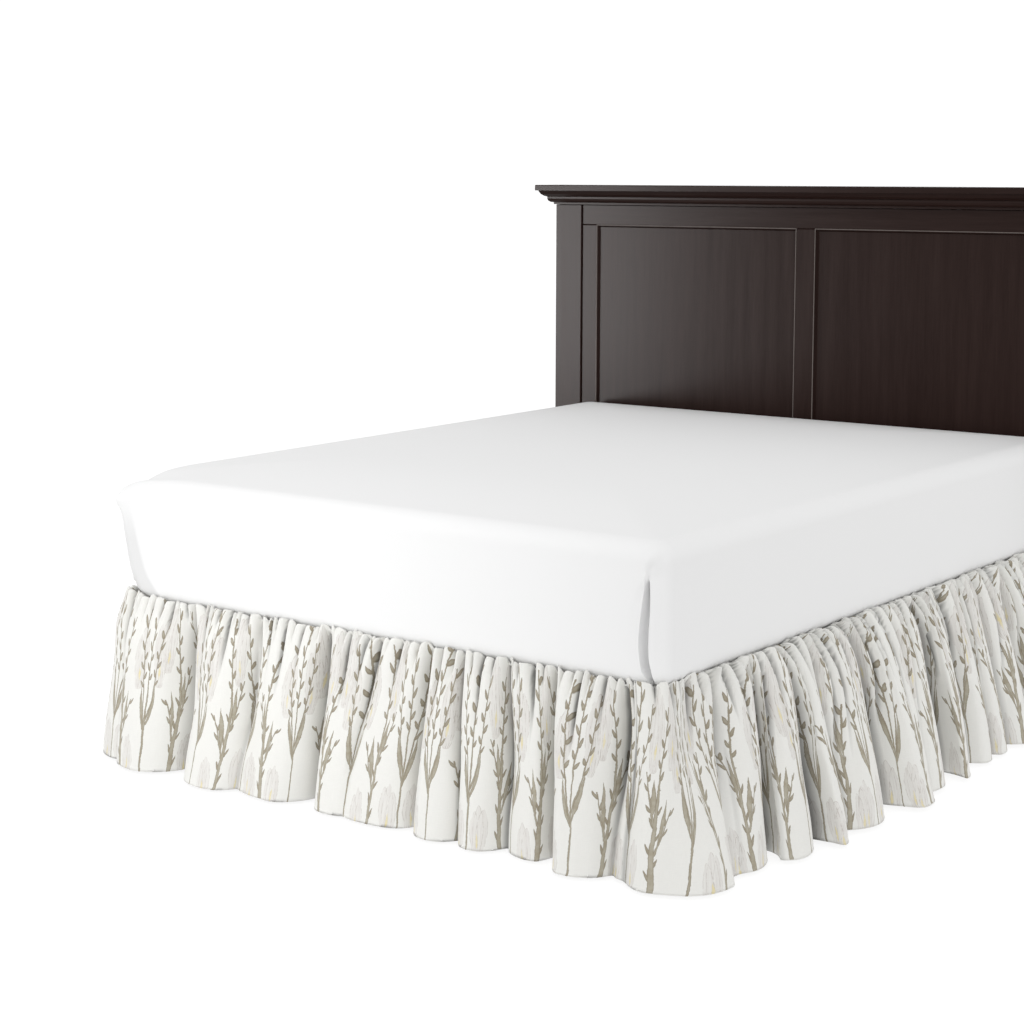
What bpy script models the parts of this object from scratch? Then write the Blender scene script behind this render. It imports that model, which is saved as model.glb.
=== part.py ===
"""A gathered bed skirt on a queen bed, in metres, +Z up, standing on the floor at z = 0.

The skirt is a flat deck cloth, laid between the foundation and the mattress, with one continuous
gathered ruffle along its left, foot and right edges. The bed that carries it is built plain: six
legs, a foundation, a mattress in a white fitted cover, and a framed headboard with a moulded crown.
The origin is on the floor under the middle of the bed. The foot is at -Y and the headboard at +Y.
"""

import math

import bmesh
import bpy
from mathutils import Vector

# Gap kept between two pieces that touch.
GAP = 0.0003

# Deck cloth, the flat part of the skirt. The ruffle is sewn along its edge line.
EDGE_X = 0.762
EDGE_FOOT = -1.000
EDGE_HEAD = 0.990
EDGE_CORNER_RADIUS = 0.045
DECK_TOP = 0.388
CLOTH = 0.002
DECK_HEAD = 1.000
DECK_EDGE_INSET = 0.0013
DECK_CORNER_RADIUS = 0.0475

# Ruffle: height of its hem over the floor, how much a wide fold lifts it, and how fast the
# flare, the slide and the pinch of a fold change from seam to hem.
HEM_CLEAR = 0.007
HEM_LIFT = 0.12
FLARE_FADE = 1.25
SLIDE_FADE = 1.1
PINCH_SCALE = 6.75
STEPS_IN_HALF_FOLD = 4
STEPS_IN_NARROW_HALF_FOLD = 3
NARROW_HALF_FOLD = 0.060

# Foundation and legs.
FOUNDATION_INSET = 0.040
FOUNDATION_BOTTOM = 0.180
FOUNDATION_ROUND = 0.008
LEG_TOP_RADIUS = 0.032
LEG_FOOT_RADIUS = 0.024
LEG_SIDES = 16
LEG_X = 0.630
LEG_Y = (-0.880, 0.000, 0.880)

# Mattress in its fitted cover.
MATTRESS_X = 0.770
MATTRESS_FOOT = -1.004
MATTRESS_HEAD = 1.0125
MATTRESS_SIDE_TOP = 0.683
MATTRESS_CORNER_RADIUS = 0.052
MATTRESS_LEAST_RADIUS = 0.028
MATTRESS_TOP_ROUND = 0.042
MATTRESS_BOTTOM_ROUND = 0.028
MATTRESS_CROWN = 0.027
CORNER_STEPS = 6
ROUND_STEPS = 5

# Headboard frame. It is hung a little to the left of the middle of the bed.
HEADBOARD_MIDDLE = -0.010
HEADBOARD_X = 0.878
HEADBOARD_FRONT = 1.010
POST_SIZE = 0.097
POST_DEPTH = 0.102
POST_TOP = 1.295
CROWN_TOP = 1.356
FRAME_RECESS = 0.006
FRAME_THICK = 0.030
STILE_WIDTH = 0.055
MULLION_WIDTH = 0.062
RAIL_TOP_HEIGHT = 0.062
RAIL_BOTTOM_LOW = 0.300
RAIL_BOTTOM_HIGH = 0.440
BEAD_RECESS = 0.0015
BEAD_WIDTH = 0.004
BEAD_SLOPE = 0.006
FIELD_RECESS = 0.007
PANEL_THICK = 0.020
WOOD_ROUND = 0.002

# The mattress's crowned top: distance in from its side, and the share of the crown's height there.
MATTRESS_CROWN_STEPS = [
    # inset, share
    (0.060, 0.30),
    (0.120, 0.62),
    (0.220, 0.88),
    (0.380, 1.00),
]

# Crown moulding, from its top edge down: overhang beyond the posts, and depth below the top.
CROWN_PROFILE = [
    # overhang, below top
    (0.0460, 0.0000),
    (0.0480, 0.0020),
    (0.0480, 0.0175),
    (0.0400, 0.0180),
    (0.0390, 0.0215),
    (0.0345, 0.0290),
    (0.0270, 0.0345),
    (0.0200, 0.0370),
    (0.0200, 0.0430),
    (0.0180, 0.0490),
    (0.0120, 0.0535),
    (0.0050, 0.0550),
    (0.0050, 0.0607),
]

# How the ruffle hangs, from its seam (0) to its hem (1). The rolled heading stands out and up
# from the seam and falls over. Depth is the share of each fold's depth that has opened there.
HANG = [
    # down, roll_out, roll_up, depth
    (0.000, 0.0000, 0.0000, 0.00),
    (0.012, 0.0095, 0.0190, 0.00),
    (0.030, 0.0145, 0.0300, 0.03),
    (0.060, 0.0170, 0.0310, 0.12),
    (0.120, 0.0165, 0.0190, 0.38),
    (0.230, 0.0120, 0.0070, 0.70),
    (0.400, 0.0060, 0.0000, 0.91),
    (0.660, 0.0020, 0.0000, 0.99),
    (1.000, 0.0000, 0.0000, 1.00),
]

# Folds of each side, from its first corner or end. Along is the place of the fold on the edge
# line at the hem, and reach is how far the cloth stands out there. Lean is how far its hem has
# swung sideways, slide is how much further along the fold begins at the heading, and pinch is
# how much deeper it is a third of the way down.
LEFT_FOLDS = [
    # along, reach, lean, slide, pinch
    (0.000, 0.070, 0.000, 0.000, 0.000),
    (0.085, 0.165, 0.000, -0.004, 0.000),
    (0.160, 0.100, 0.000, -0.008, 0.010),
    (0.235, 0.180, 0.010, -0.012, 0.000),
    (0.325, 0.060, -0.040, -0.016, 0.000),
    (0.405, 0.190, 0.010, -0.020, 0.000),
    (0.470, 0.145, 0.000, -0.026, 0.010),
    (0.545, 0.200, 0.012, -0.030, 0.000),
    (0.640, 0.095, -0.030, -0.034, 0.000),
    (0.735, 0.222, 0.000, -0.032, 0.000),
    (0.800, 0.160, 0.000, -0.030, 0.008),
    (0.860, 0.190, 0.000, -0.026, 0.000),
    (0.950, 0.075, -0.055, -0.030, 0.000),
    (1.045, 0.195, 0.010, -0.024, 0.000),
    (1.120, 0.130, 0.000, -0.020, 0.012),
    (1.185, 0.170, 0.000, -0.018, 0.000),
    (1.270, 0.080, -0.030, -0.012, 0.000),
    (1.365, 0.165, 0.000, -0.008, 0.000),
    (1.435, 0.120, 0.000, 0.000, 0.012),
    (1.500, 0.150, 0.008, 0.010, 0.000),
    (1.590, 0.050, -0.020, 0.012, 0.000),
    (1.680, 0.120, 0.000, 0.010, 0.000),
    (1.755, 0.065, 0.000, 0.008, 0.010),
    (1.830, 0.090, 0.000, 0.000, 0.000),
    (1.905, 0.050, 0.000, 0.000, 0.008),
]
FOOT_FOLDS = [
    # along, reach, lean, slide, pinch
    (0.000, 0.070, 0.000, 0.000, 0.000),
    (0.045, 0.064, 0.000, 0.000, 0.004),
    (0.142, 0.105, 0.000, 0.000, 0.000),
    (0.245, 0.024, -0.006, 0.010, 0.012),
    (0.350, 0.111, 0.008, 0.018, 0.000),
    (0.431, 0.064, 0.000, 0.026, 0.022),
    (0.545, 0.090, 0.000, 0.020, 0.000),
    (0.636, 0.006, -0.006, 0.034, 0.012),
    (0.706, 0.082, -0.006, 0.020, 0.000),
    (0.755, 0.072, 0.000, 0.070, 0.012),
    (0.845, 0.082, 0.000, 0.060, 0.000),
    (0.930, 0.045, 0.000, 0.025, 0.012),
    (1.000, 0.090, -0.004, 0.000, 0.000),
    (1.056, 0.053, 0.000, -0.020, 0.000),
    (1.101, 0.086, 0.000, -0.020, 0.000),
    (1.165, 0.032, 0.000, -0.014, 0.016),
    (1.240, 0.066, 0.008, -0.014, 0.000),
    (1.286, -0.002, -0.004, -0.014, 0.008),
    (1.360, 0.092, -0.012, -0.040, 0.000),
    (1.430, 0.046, 0.000, 0.004, 0.020),
    (1.470, 0.056, 0.000, 0.000, 0.008),
]
RIGHT_FOLDS = [
    # along, reach, lean, slide, pinch
    (0.000, 0.112, 0.000, 0.010, 0.000),
    (0.036, 0.140, 0.000, 0.024, 0.050),
    (0.076, 0.115, 0.000, 0.054, 0.000),
    (0.120, 0.119, 0.000, 0.068, 0.018),
    (0.165, 0.134, 0.008, 0.080, 0.000),
    (0.222, 0.060, 0.075, 0.060, 0.000),
    (0.262, 0.140, -0.022, 0.080, 0.000),
    (0.300, 0.173, -0.012, 0.084, 0.000),
    (0.350, 0.115, 0.034, 0.084, 0.000),
    (0.392, 0.200, 0.003, 0.090, 0.000),
    (0.455, 0.132, 0.008, 0.092, 0.014),
    (0.555, 0.196, 0.010, 0.104, 0.000),
    (0.640, 0.105, 0.045, 0.108, 0.000),
    (0.750, 0.222, 0.000, 0.114, 0.000),
    (0.828, 0.180, 0.002, 0.118, 0.012),
    (0.880, 0.192, 0.010, 0.124, 0.000),
    (0.945, 0.070, 0.085, 0.118, 0.000),
    (1.000, 0.202, -0.002, 0.124, 0.000),
    (1.060, 0.120, 0.035, 0.124, 0.000),
    (1.160, 0.192, 0.008, 0.122, 0.000),
    (1.198, 0.150, 0.015, 0.122, 0.012),
    (1.238, 0.192, 0.000, 0.122, 0.000),
    (1.305, 0.145, 0.010, 0.120, 0.012),
    (1.372, 0.198, 0.000, 0.115, 0.000),
    (1.450, 0.090, 0.030, 0.105, 0.000),
    (1.545, 0.192, 0.000, 0.088, 0.000),
    (1.625, 0.105, 0.020, 0.072, 0.000),
    (1.705, 0.185, 0.008, 0.055, 0.000),
    (1.785, 0.070, 0.020, 0.038, 0.000),
    (1.870, 0.165, 0.000, 0.018, 0.000),
    (1.975, 0.080, 0.000, 0.000, 0.000),
]


def clear_scene():
    for obj in list(bpy.data.objects):
        bpy.data.objects.remove(obj, do_unlink=True)


def make_collection(name):
    collection = bpy.data.collections.new(name)
    bpy.context.scene.collection.children.link(collection)
    return collection


def make_material(name, colour, roughness, metallic=0.0):
    material = bpy.data.materials.new(name)
    material.use_nodes = True
    shader = material.node_tree.nodes["Principled BSDF"]
    shader.inputs["Base Color"].default_value = (*colour, 1.0)
    shader.inputs["Roughness"].default_value = roughness
    shader.inputs["Metallic"].default_value = metallic
    return material


def add_object(name, mesh, collection, material, smooth_angle=None):
    obj = bpy.data.objects.new(name, mesh)
    collection.objects.link(obj)
    mesh.materials.append(material)
    if smooth_angle is not None:
        mesh.shade_smooth()
        mesh.set_sharp_from_angle(angle=math.radians(smooth_angle))
    return obj


def add_bevel(obj, width, segments):
    bevel = obj.modifiers.new("rounded edges", "BEVEL")
    bevel.width = width
    bevel.segments = segments
    bevel.limit_method = "ANGLE"
    return bevel


def box_mesh(name, low, high):
    """A box between two corners. Its points are placed in the bed's own frame."""
    bm = bmesh.new()
    bmesh.ops.create_cube(bm, size=1.0)
    size = Vector(high) - Vector(low)
    bmesh.ops.scale(bm, vec=size, verts=bm.verts)
    bmesh.ops.translate(bm, vec=(Vector(low) + Vector(high)) / 2, verts=bm.verts)
    mesh = bpy.data.meshes.new(name)
    bm.to_mesh(mesh)
    bm.free()
    return mesh


def rounded_rectangle(low, high, radius, z, steps):
    """Points of a rounded rectangle at one height, anticlockwise seen from above."""
    centres = [
        (high[0] - radius, low[1] + radius, -90.0),
        (high[0] - radius, high[1] - radius, 0.0),
        (low[0] + radius, high[1] - radius, 90.0),
        (low[0] + radius, low[1] + radius, 180.0),
    ]
    points = []
    for x, y, start in centres:
        for step in range(steps + 1):
            turn = math.radians(start + 90.0 * step / steps)
            points.append(Vector((x + radius * math.cos(turn), y + radius * math.sin(turn), z)))
    return points


def loft_mesh(name, rings):
    """Skins rings of equal point counts, from the lowest to the highest, and caps both ends."""
    bm = bmesh.new()
    layers = [[bm.verts.new(point) for point in ring] for ring in rings]
    count = len(rings[0])
    for lower, upper in zip(layers, layers[1:]):
        for i in range(count):
            j = (i + 1) % count
            bm.faces.new((lower[i], lower[j], upper[j], upper[i]))
    bm.faces.new(reversed(layers[0]))
    bm.faces.new(layers[-1])
    mesh = bpy.data.meshes.new(name)
    bm.to_mesh(mesh)
    bm.free()
    return mesh


# ---------------------------------------------------------------- the skirt


def edge_path():
    """Lengths of the edge line: the straight runs, and the arc of one rounded corner."""
    side = EDGE_HEAD - EDGE_FOOT - EDGE_CORNER_RADIUS
    foot = 2 * (EDGE_X - EDGE_CORNER_RADIUS)
    arc = math.pi / 2 * EDGE_CORNER_RADIUS
    return side, foot, arc


def edge_point(distance):
    """Place and outward direction on the edge line, from the head's left end round to its right end."""
    side, foot, arc = edge_path()
    radius = EDGE_CORNER_RADIUS
    inner_x = EDGE_X - radius
    inner_y = EDGE_FOOT + radius
    if distance <= side:
        return Vector((-EDGE_X, EDGE_HEAD - distance, 0)), Vector((-1, 0, 0))
    distance -= side
    if distance <= arc:
        turn = math.pi + distance / radius
        out = Vector((math.cos(turn), math.sin(turn), 0))
        return Vector((-inner_x, inner_y, 0)) + radius * out, out
    distance -= arc
    if distance <= foot:
        return Vector((-inner_x + distance, EDGE_FOOT, 0)), Vector((0, -1, 0))
    distance -= foot
    if distance <= arc:
        turn = 1.5 * math.pi + distance / radius
        out = Vector((math.cos(turn), math.sin(turn), 0))
        return Vector((inner_x, inner_y, 0)) + radius * out, out
    distance -= arc
    return Vector((EDGE_X, inner_y + distance, 0)), Vector((1, 0, 0))


def fold_list():
    """All folds in order along the edge line: distance from its left end, the table's shape, and
    the mean reach of the folds round it."""
    side, foot, arc = edge_path()
    sides = (
        (0.0, LEFT_FOLDS),
        (side + arc / 2, FOOT_FOLDS),
        (side + arc * 1.5 + foot, RIGHT_FOLDS),
    )
    rows = [(start + along, *shape) for start, folds in sides for along, *shape in folds]
    folds = []
    for i, row in enumerate(rows):
        near = [reach for _, reach, *_ in rows[max(i - 2, 0) : i + 3]]
        folds.append((*row, sum(near) / len(near)))
    return folds


def columns():
    """The folds, and the columns of cloth eased between each two of them."""
    folds = fold_list()
    found = []
    for here, there in zip(folds, folds[1:]):
        narrow = there[0] - here[0] < NARROW_HALF_FOLD
        steps = STEPS_IN_NARROW_HALF_FOLD if narrow else STEPS_IN_HALF_FOLD
        for step in range(steps):
            part = step / steps
            ease = (1 - math.cos(math.pi * part)) / 2
            distance = here[0] + part * (there[0] - here[0])
            found.append((distance, *(a + ease * (b - a) for a, b in zip(here[1:], there[1:]))))
    found.append(folds[-1])
    return found


def ruffle_point(column, hang):
    distance, reach, lean, slide, pinch, mean = column
    down, roll_out, roll_up, depth = hang
    up = 1 - down
    place, out = edge_point(distance + slide * up**SLIDE_FADE)
    sideways = Vector((-out.y, out.x, 0))
    flare = mean * (1 - up**FLARE_FADE)
    third = PINCH_SCALE * down * up * up
    seam = DECK_TOP - CLOTH / 2
    hem = HEM_CLEAR + HEM_LIFT * reach * reach
    point = place + out * (roll_out + flare + (reach - mean) * depth - pinch * third)
    point += sideways * lean * depth
    point.z = seam + roll_up - down * (seam - hem)
    return point


def build_ruffle(collection, material):
    bm = bmesh.new()
    grid = [[bm.verts.new(ruffle_point(column, hang)) for hang in HANG] for column in columns()]
    for left, right in zip(grid, grid[1:]):
        for row in range(len(HANG) - 1):
            bm.faces.new((left[row], left[row + 1], right[row + 1], right[row]))
    mesh = bpy.data.meshes.new("ruffle")
    bm.to_mesh(mesh)
    bm.free()
    ruffle = add_object("ruffle", mesh, collection, material, smooth_angle=70)
    thickness = ruffle.modifiers.new("cloth thickness", "SOLIDIFY")
    thickness.thickness = CLOTH
    thickness.offset = 0.0
    return ruffle


def build_deck(collection, material):
    inset = DECK_EDGE_INSET
    low = (-EDGE_X + inset, EDGE_FOOT + inset)
    high = (EDGE_X - inset, DECK_HEAD)
    rings = [
        rounded_rectangle(low, high, DECK_CORNER_RADIUS, z, CORNER_STEPS)
        for z in (DECK_TOP - CLOTH, DECK_TOP)
    ]
    return add_object("deck", loft_mesh("deck", rings), collection, material)


# ---------------------------------------------------------------- the bed


def build_foundation(collection, material):
    low = (-EDGE_X + FOUNDATION_INSET, EDGE_FOOT + FOUNDATION_INSET, FOUNDATION_BOTTOM)
    high = (
        EDGE_X - FOUNDATION_INSET,
        HEADBOARD_FRONT + FRAME_RECESS - GAP,
        DECK_TOP - CLOTH - GAP,
    )
    mesh = box_mesh("foundation", low, high)
    foundation = add_object("foundation", mesh, collection, material)
    add_bevel(foundation, FOUNDATION_ROUND, 2)
    return foundation


def build_legs(collection, material):
    height = FOUNDATION_BOTTOM - GAP
    number = 0
    for x in (-LEG_X, LEG_X):
        for y in LEG_Y:
            number += 1
            bm = bmesh.new()
            bmesh.ops.create_cone(
                bm,
                cap_ends=True,
                segments=LEG_SIDES,
                radius1=LEG_FOOT_RADIUS,
                radius2=LEG_TOP_RADIUS,
                depth=height,
            )
            name = f"leg_{number}"
            mesh = bpy.data.meshes.new(name)
            bm.to_mesh(mesh)
            bm.free()
            leg = add_object(name, mesh, collection, material, smooth_angle=40)
            leg.location = (x, y, height / 2)


def mattress_profile():
    """Inset from the side and height, from the bottom face up over the side to the crowned top."""
    bottom = DECK_TOP + GAP
    low_round = MATTRESS_BOTTOM_ROUND
    top_round = MATTRESS_TOP_ROUND
    profile = []
    for step in range(ROUND_STEPS + 1):
        turn = math.pi / 2 * step / ROUND_STEPS
        inset = low_round * (1 - math.sin(turn))
        profile.append((inset, bottom + low_round * (1 - math.cos(turn))))
    for step in range(ROUND_STEPS + 1):
        turn = math.pi / 2 * step / ROUND_STEPS
        inset = top_round * (1 - math.cos(turn))
        profile.append((inset, MATTRESS_SIDE_TOP - top_round * (1 - math.sin(turn))))
    for inset, share in MATTRESS_CROWN_STEPS:
        profile.append((inset, MATTRESS_SIDE_TOP + MATTRESS_CROWN * share))
    return profile


def build_mattress(collection, material):
    rings = []
    for inset, z in mattress_profile():
        low = (-MATTRESS_X + inset, MATTRESS_FOOT + inset)
        high = (MATTRESS_X - inset, MATTRESS_HEAD - inset)
        radius = max(MATTRESS_CORNER_RADIUS - inset, MATTRESS_LEAST_RADIUS)
        rings.append(rounded_rectangle(low, high, radius, z, CORNER_STEPS))
    return add_object("mattress", loft_mesh("mattress", rings), collection, material, 40)


def build_wood_box(name, low, high, collection, material):
    board = add_object(name, box_mesh(name, low, high), collection, material)
    add_bevel(board, WOOD_ROUND, 1)
    return board


def build_posts(collection, material):
    for name, side in (("post_left", -1), ("post_right", 1)):
        xs = sorted((side * HEADBOARD_X, side * (HEADBOARD_X - POST_SIZE)))
        low = (HEADBOARD_MIDDLE + xs[0], HEADBOARD_FRONT, 0.0)
        high = (HEADBOARD_MIDDLE + xs[1], HEADBOARD_FRONT + POST_DEPTH, POST_TOP - GAP)
        build_wood_box(name, low, high, collection, material)


def build_frame(collection, material):
    """Top and bottom rails run between the posts; stiles and mullion stand between the rails."""
    front = HEADBOARD_FRONT + FRAME_RECESS
    back = front + FRAME_THICK
    middle = HEADBOARD_MIDDLE
    inner = HEADBOARD_X - POST_SIZE - GAP
    rail_low = POST_TOP - RAIL_TOP_HEIGHT
    rails = (
        ("rail_top", rail_low, POST_TOP - GAP),
        ("rail_bottom", RAIL_BOTTOM_LOW, RAIL_BOTTOM_HIGH),
    )
    for name, low, high in rails:
        ends = ((middle - inner, front, low), (middle + inner, back, high))
        build_wood_box(name, *ends, collection, material)
    uprights = (
        ("stile_left", -inner, -inner + STILE_WIDTH),
        ("mullion", -MULLION_WIDTH / 2, MULLION_WIDTH / 2),
        ("stile_right", inner - STILE_WIDTH, inner),
    )
    low_z = RAIL_BOTTOM_HIGH + GAP
    high_z = rail_low - GAP
    for name, low, high in uprights:
        ends = ((middle + low, front, low_z), (middle + high, back, high_z))
        build_wood_box(name, *ends, collection, material)


def build_panels(collection, material):
    """Each panel fills its place in the frame: a narrow bead slopes down to its lower field."""
    bead_front = HEADBOARD_FRONT + FRAME_RECESS + BEAD_RECESS
    inner = HEADBOARD_X - POST_SIZE - GAP - STILE_WIDTH - GAP
    half_mullion = MULLION_WIDTH / 2 + GAP
    low_z = RAIL_BOTTOM_HIGH + GAP
    high_z = POST_TOP - RAIL_TOP_HEIGHT - GAP
    panels = (("panel_left", -inner, -half_mullion), ("panel_right", half_mullion, inner))
    for name, low_x, high_x in panels:
        low = (HEADBOARD_MIDDLE + low_x, bead_front, low_z)
        high = (HEADBOARD_MIDDLE + high_x, bead_front + PANEL_THICK, high_z)
        mesh = box_mesh(name, low, high)
        bm = bmesh.new()
        bm.from_mesh(mesh)
        bm.faces.ensure_lookup_table()
        face = min(bm.faces, key=lambda face: face.calc_center_median().y)
        bmesh.ops.inset_region(bm, faces=[face], thickness=BEAD_WIDTH)
        field = min(bm.faces, key=lambda face: (round(face.normal.y, 3), -face.calc_area()))
        bmesh.ops.inset_region(bm, faces=[field], thickness=BEAD_SLOPE, depth=-FIELD_RECESS)
        bm.to_mesh(mesh)
        bm.free()
        add_object(name, mesh, collection, material)


def build_crown(collection, material):
    """The moulding runs along the front and both ends, and is flush with the posts behind."""
    back = HEADBOARD_FRONT + POST_DEPTH
    rings = []
    for overhang, below in reversed(CROWN_PROFILE):
        x = HEADBOARD_X + overhang
        front = HEADBOARD_FRONT - overhang
        z = CROWN_TOP - below
        corners = ((x, front), (x, back), (-x, back), (-x, front))
        rings.append([Vector((HEADBOARD_MIDDLE + cx, cy, z)) for cx, cy in corners])
    return add_object("crown", loft_mesh("crown", rings), collection, material)


def main():
    clear_scene()
    bed = make_collection("bed_skirt_on_bed")
    print_cloth = make_material("printed cotton", (0.86, 0.85, 0.81), 0.85)
    plain_cloth = make_material("deck cloth", (0.82, 0.81, 0.78), 0.90)
    white_cover = make_material("white fitted cover", (0.90, 0.90, 0.90), 0.80)
    ticking = make_material("foundation ticking", (0.62, 0.61, 0.59), 0.90)
    dark_wood = make_material("espresso wood", (0.034, 0.024, 0.021), 0.42)
    build_ruffle(bed, print_cloth)
    build_deck(bed, plain_cloth)
    build_mattress(bed, white_cover)
    build_foundation(bed, ticking)
    build_legs(bed, dark_wood)
    build_posts(bed, dark_wood)
    build_frame(bed, dark_wood)
    build_panels(bed, dark_wood)
    build_crown(bed, dark_wood)


main()
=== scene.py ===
# %% [markdown]
# # A gathered bed skirt on its bed
# A bed skirt hides the foundation of a bed. A flat deck cloth lies under the mattress, and a long
# strip of printed cotton, gathered to about three fifths of its length, is sewn round its edge.
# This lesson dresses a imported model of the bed: the model gives every piece its place and size,
# and each cell below adds one piece or one finish. Lengths are in metres, and +Z is up.

# %% Load the frame
import bisect
import random
from math import cos, exp, hypot, pi, radians, sin, sqrt

import bpy
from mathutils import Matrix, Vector, noise


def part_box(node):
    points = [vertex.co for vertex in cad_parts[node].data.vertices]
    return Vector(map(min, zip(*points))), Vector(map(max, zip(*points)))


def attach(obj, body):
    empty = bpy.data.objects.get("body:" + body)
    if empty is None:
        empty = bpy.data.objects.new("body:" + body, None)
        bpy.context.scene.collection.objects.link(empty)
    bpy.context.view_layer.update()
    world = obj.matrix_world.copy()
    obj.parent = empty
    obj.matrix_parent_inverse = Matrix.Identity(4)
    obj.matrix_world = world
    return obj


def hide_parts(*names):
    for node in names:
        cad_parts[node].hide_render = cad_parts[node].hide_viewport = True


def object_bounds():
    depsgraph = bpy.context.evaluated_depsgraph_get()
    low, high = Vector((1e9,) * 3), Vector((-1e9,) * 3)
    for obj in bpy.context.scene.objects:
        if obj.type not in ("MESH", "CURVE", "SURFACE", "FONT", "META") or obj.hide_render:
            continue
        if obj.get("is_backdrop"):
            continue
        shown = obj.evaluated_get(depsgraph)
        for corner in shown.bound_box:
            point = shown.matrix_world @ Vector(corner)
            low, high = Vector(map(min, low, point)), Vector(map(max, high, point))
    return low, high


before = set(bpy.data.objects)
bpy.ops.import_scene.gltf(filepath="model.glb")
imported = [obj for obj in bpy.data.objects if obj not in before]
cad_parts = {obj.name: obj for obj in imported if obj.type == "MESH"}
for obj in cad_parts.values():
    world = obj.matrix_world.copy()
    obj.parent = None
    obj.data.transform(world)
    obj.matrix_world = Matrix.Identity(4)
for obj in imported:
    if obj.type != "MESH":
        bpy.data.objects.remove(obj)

cad_low, cad_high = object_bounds()
bed_size = cad_high - cad_low
print("bed, skirt and headboard:", [round(side, 3) for side in bed_size])

# %% [markdown]
# ## Camera
# The bed is seen from beyond its right foot corner, from standing height and slightly down. A long
# lens keeps the sides of the bed nearly parallel. A small lens shift frames the headboard and the
# hem without tilting the camera, so that upright lines stay upright.

# %% Camera
CAMERA_PLACE = (2.872, -4.406, 1.406)
CAMERA_TURN = 37.38
CAMERA_DOWN = 6.605
CAMERA_LENS = 73.11
CAMERA_SENSOR = 36
CAMERA_SHIFT = (0.05, -0.10)

bpy.ops.object.select_all(action="DESELECT")
bpy.ops.object.camera_add(
    location=CAMERA_PLACE,
    rotation=(radians(90 - CAMERA_DOWN), 0, radians(CAMERA_TURN)),
)
camera = bpy.context.object
camera.name = "camera"
camera.data.lens = CAMERA_LENS
camera.data.sensor_width = CAMERA_SENSOR
camera.data.shift_x, camera.data.shift_y = CAMERA_SHIFT
bpy.context.scene.camera = camera
print("camera", camera.location[:], "lens", camera.data.lens)

# %% [markdown]
# ## Helpers for materials
# A material is a tree of nodes. A `Value` wraps a node's output, so that a sum or product of two
# values can be written as plain arithmetic: each sign adds one Math node. `feed` puts a number, a
# colour or a value into a socket, and `added` adds one node with all that goes into it.

# %% Values
class Value:
    """A node's output. Arithmetic with it adds Math nodes to its tree."""

    def __init__(self, socket):
        self.socket = socket
        self.tree = socket.id_data

    def __add__(self, other):
        return calc("ADD", self, other)

    def __sub__(self, other):
        return calc("SUBTRACT", self, other)

    def __rsub__(self, other):
        return calc("SUBTRACT", other, self)

    def __mul__(self, other):
        return calc("MULTIPLY", self, other)

    def __truediv__(self, other):
        return calc("DIVIDE", self, other)

    def __abs__(self):
        return calc("ABSOLUTE", self)

    def scaled(self, by, plus):
        """The value times one thing, plus another."""
        return calc("MULTIPLY_ADD", self, by, plus)


def feed(socket, value):
    if isinstance(value, Value):
        value.tree.links.new(value.socket, socket)
    else:
        socket.default_value = value


def added(tree, kind, inputs=None, output=0, **settings):
    """Adds a node and gives one of its outputs. Inputs: what goes into which socket."""
    node = tree.nodes.new("ShaderNode" + kind)
    for name, value in settings.items():
        setattr(node, name, value)
    for socket, value in (inputs or {}).items():
        feed(node.inputs[socket], value)
    return Value(node.outputs[output])


def calc(operation, *values):
    """One Math node. Each value is a number or a Value."""
    tree = next(value.tree for value in values if isinstance(value, Value))
    return added(tree, "Math", dict(enumerate(values)), operation=operation)


# %% Helpers for materials
def new_material(name, roughness, specular):
    """A material and its shader, the node that holds its colour and gloss."""
    material = bpy.data.materials.new(name)
    material.use_nodes = True
    shader = material.node_tree.nodes["Principled BSDF"]
    feed(shader.inputs["Roughness"], roughness)
    feed(shader.inputs["Specular IOR Level"], specular)
    return material, shader


def noise_of(vector, scale, detail=2.0, roughness=0.5, stretch=(1, 1, 1)):
    """Noise from 0 to 1. Stretch squeezes it along each axis, for threads or grain."""
    place = added(vector.tree, "Mapping", {"Scale": stretch, "Vector": vector})
    inputs = {"Vector": place, "Scale": scale, "Detail": detail, "Roughness": roughness}
    return added(vector.tree, "TexNoise", inputs, "Fac")


def blend_of(share, first, second):
    """A colour between two others."""
    inputs = {"Factor": share, 6: first, 7: second}
    return added(share.tree, "Mix", inputs, 2, data_type="RGBA")


def range_of(value, low, high, to_low=0.0, to_high=1.0):
    return added(value.tree, "MapRange", dict(enumerate((value, low, high, to_low, to_high))))


def curve_of(value, rows, handle="AUTO_CLAMPED"):
    """A curve through rows of two shares from 0 to 1: the value read and the value given."""
    result = added(value.tree, "FloatCurve", {"Value": value})
    mapping = result.socket.node.mapping
    mapping.extend = "HORIZONTAL"
    curve = mapping.curves[0]
    curve.points[0].location = rows[0]
    curve.points[1].location = rows[-1]
    for row in rows[1:-1]:
        curve.points.new(*row)
    for point in curve.points:
        point.handle_type = handle
    mapping.update()
    return result


def axis_of(vector, axis):
    return added(vector.tree, "SeparateXYZ", {0: vector}, axis)


def place_of(shader):
    return added(shader.id_data, "TexCoord", output="Object")


def attribute_of(shader, name):
    return added(shader.id_data, "Attribute", output="Fac", attribute_name=name)


def bump_of(shader, height, distance, strength):
    inputs = {"Height": height, "Distance": distance, "Strength": strength}
    feed(shader.inputs["Normal"], added(height.tree, "Bump", inputs))


# %% [markdown]
# ## Stage
# The floor is a plain pale sheet that glows, as a lit white floor does, so only a faint shadow
# shows at the hem. The studio's soft light is a sky: bright at the horizon and the sides, less so
# overhead, and dim below, for the light that a floor throws back. The floor itself is left out of
# the light on the bed, since the lower half of the sky already stands for it.

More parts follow.
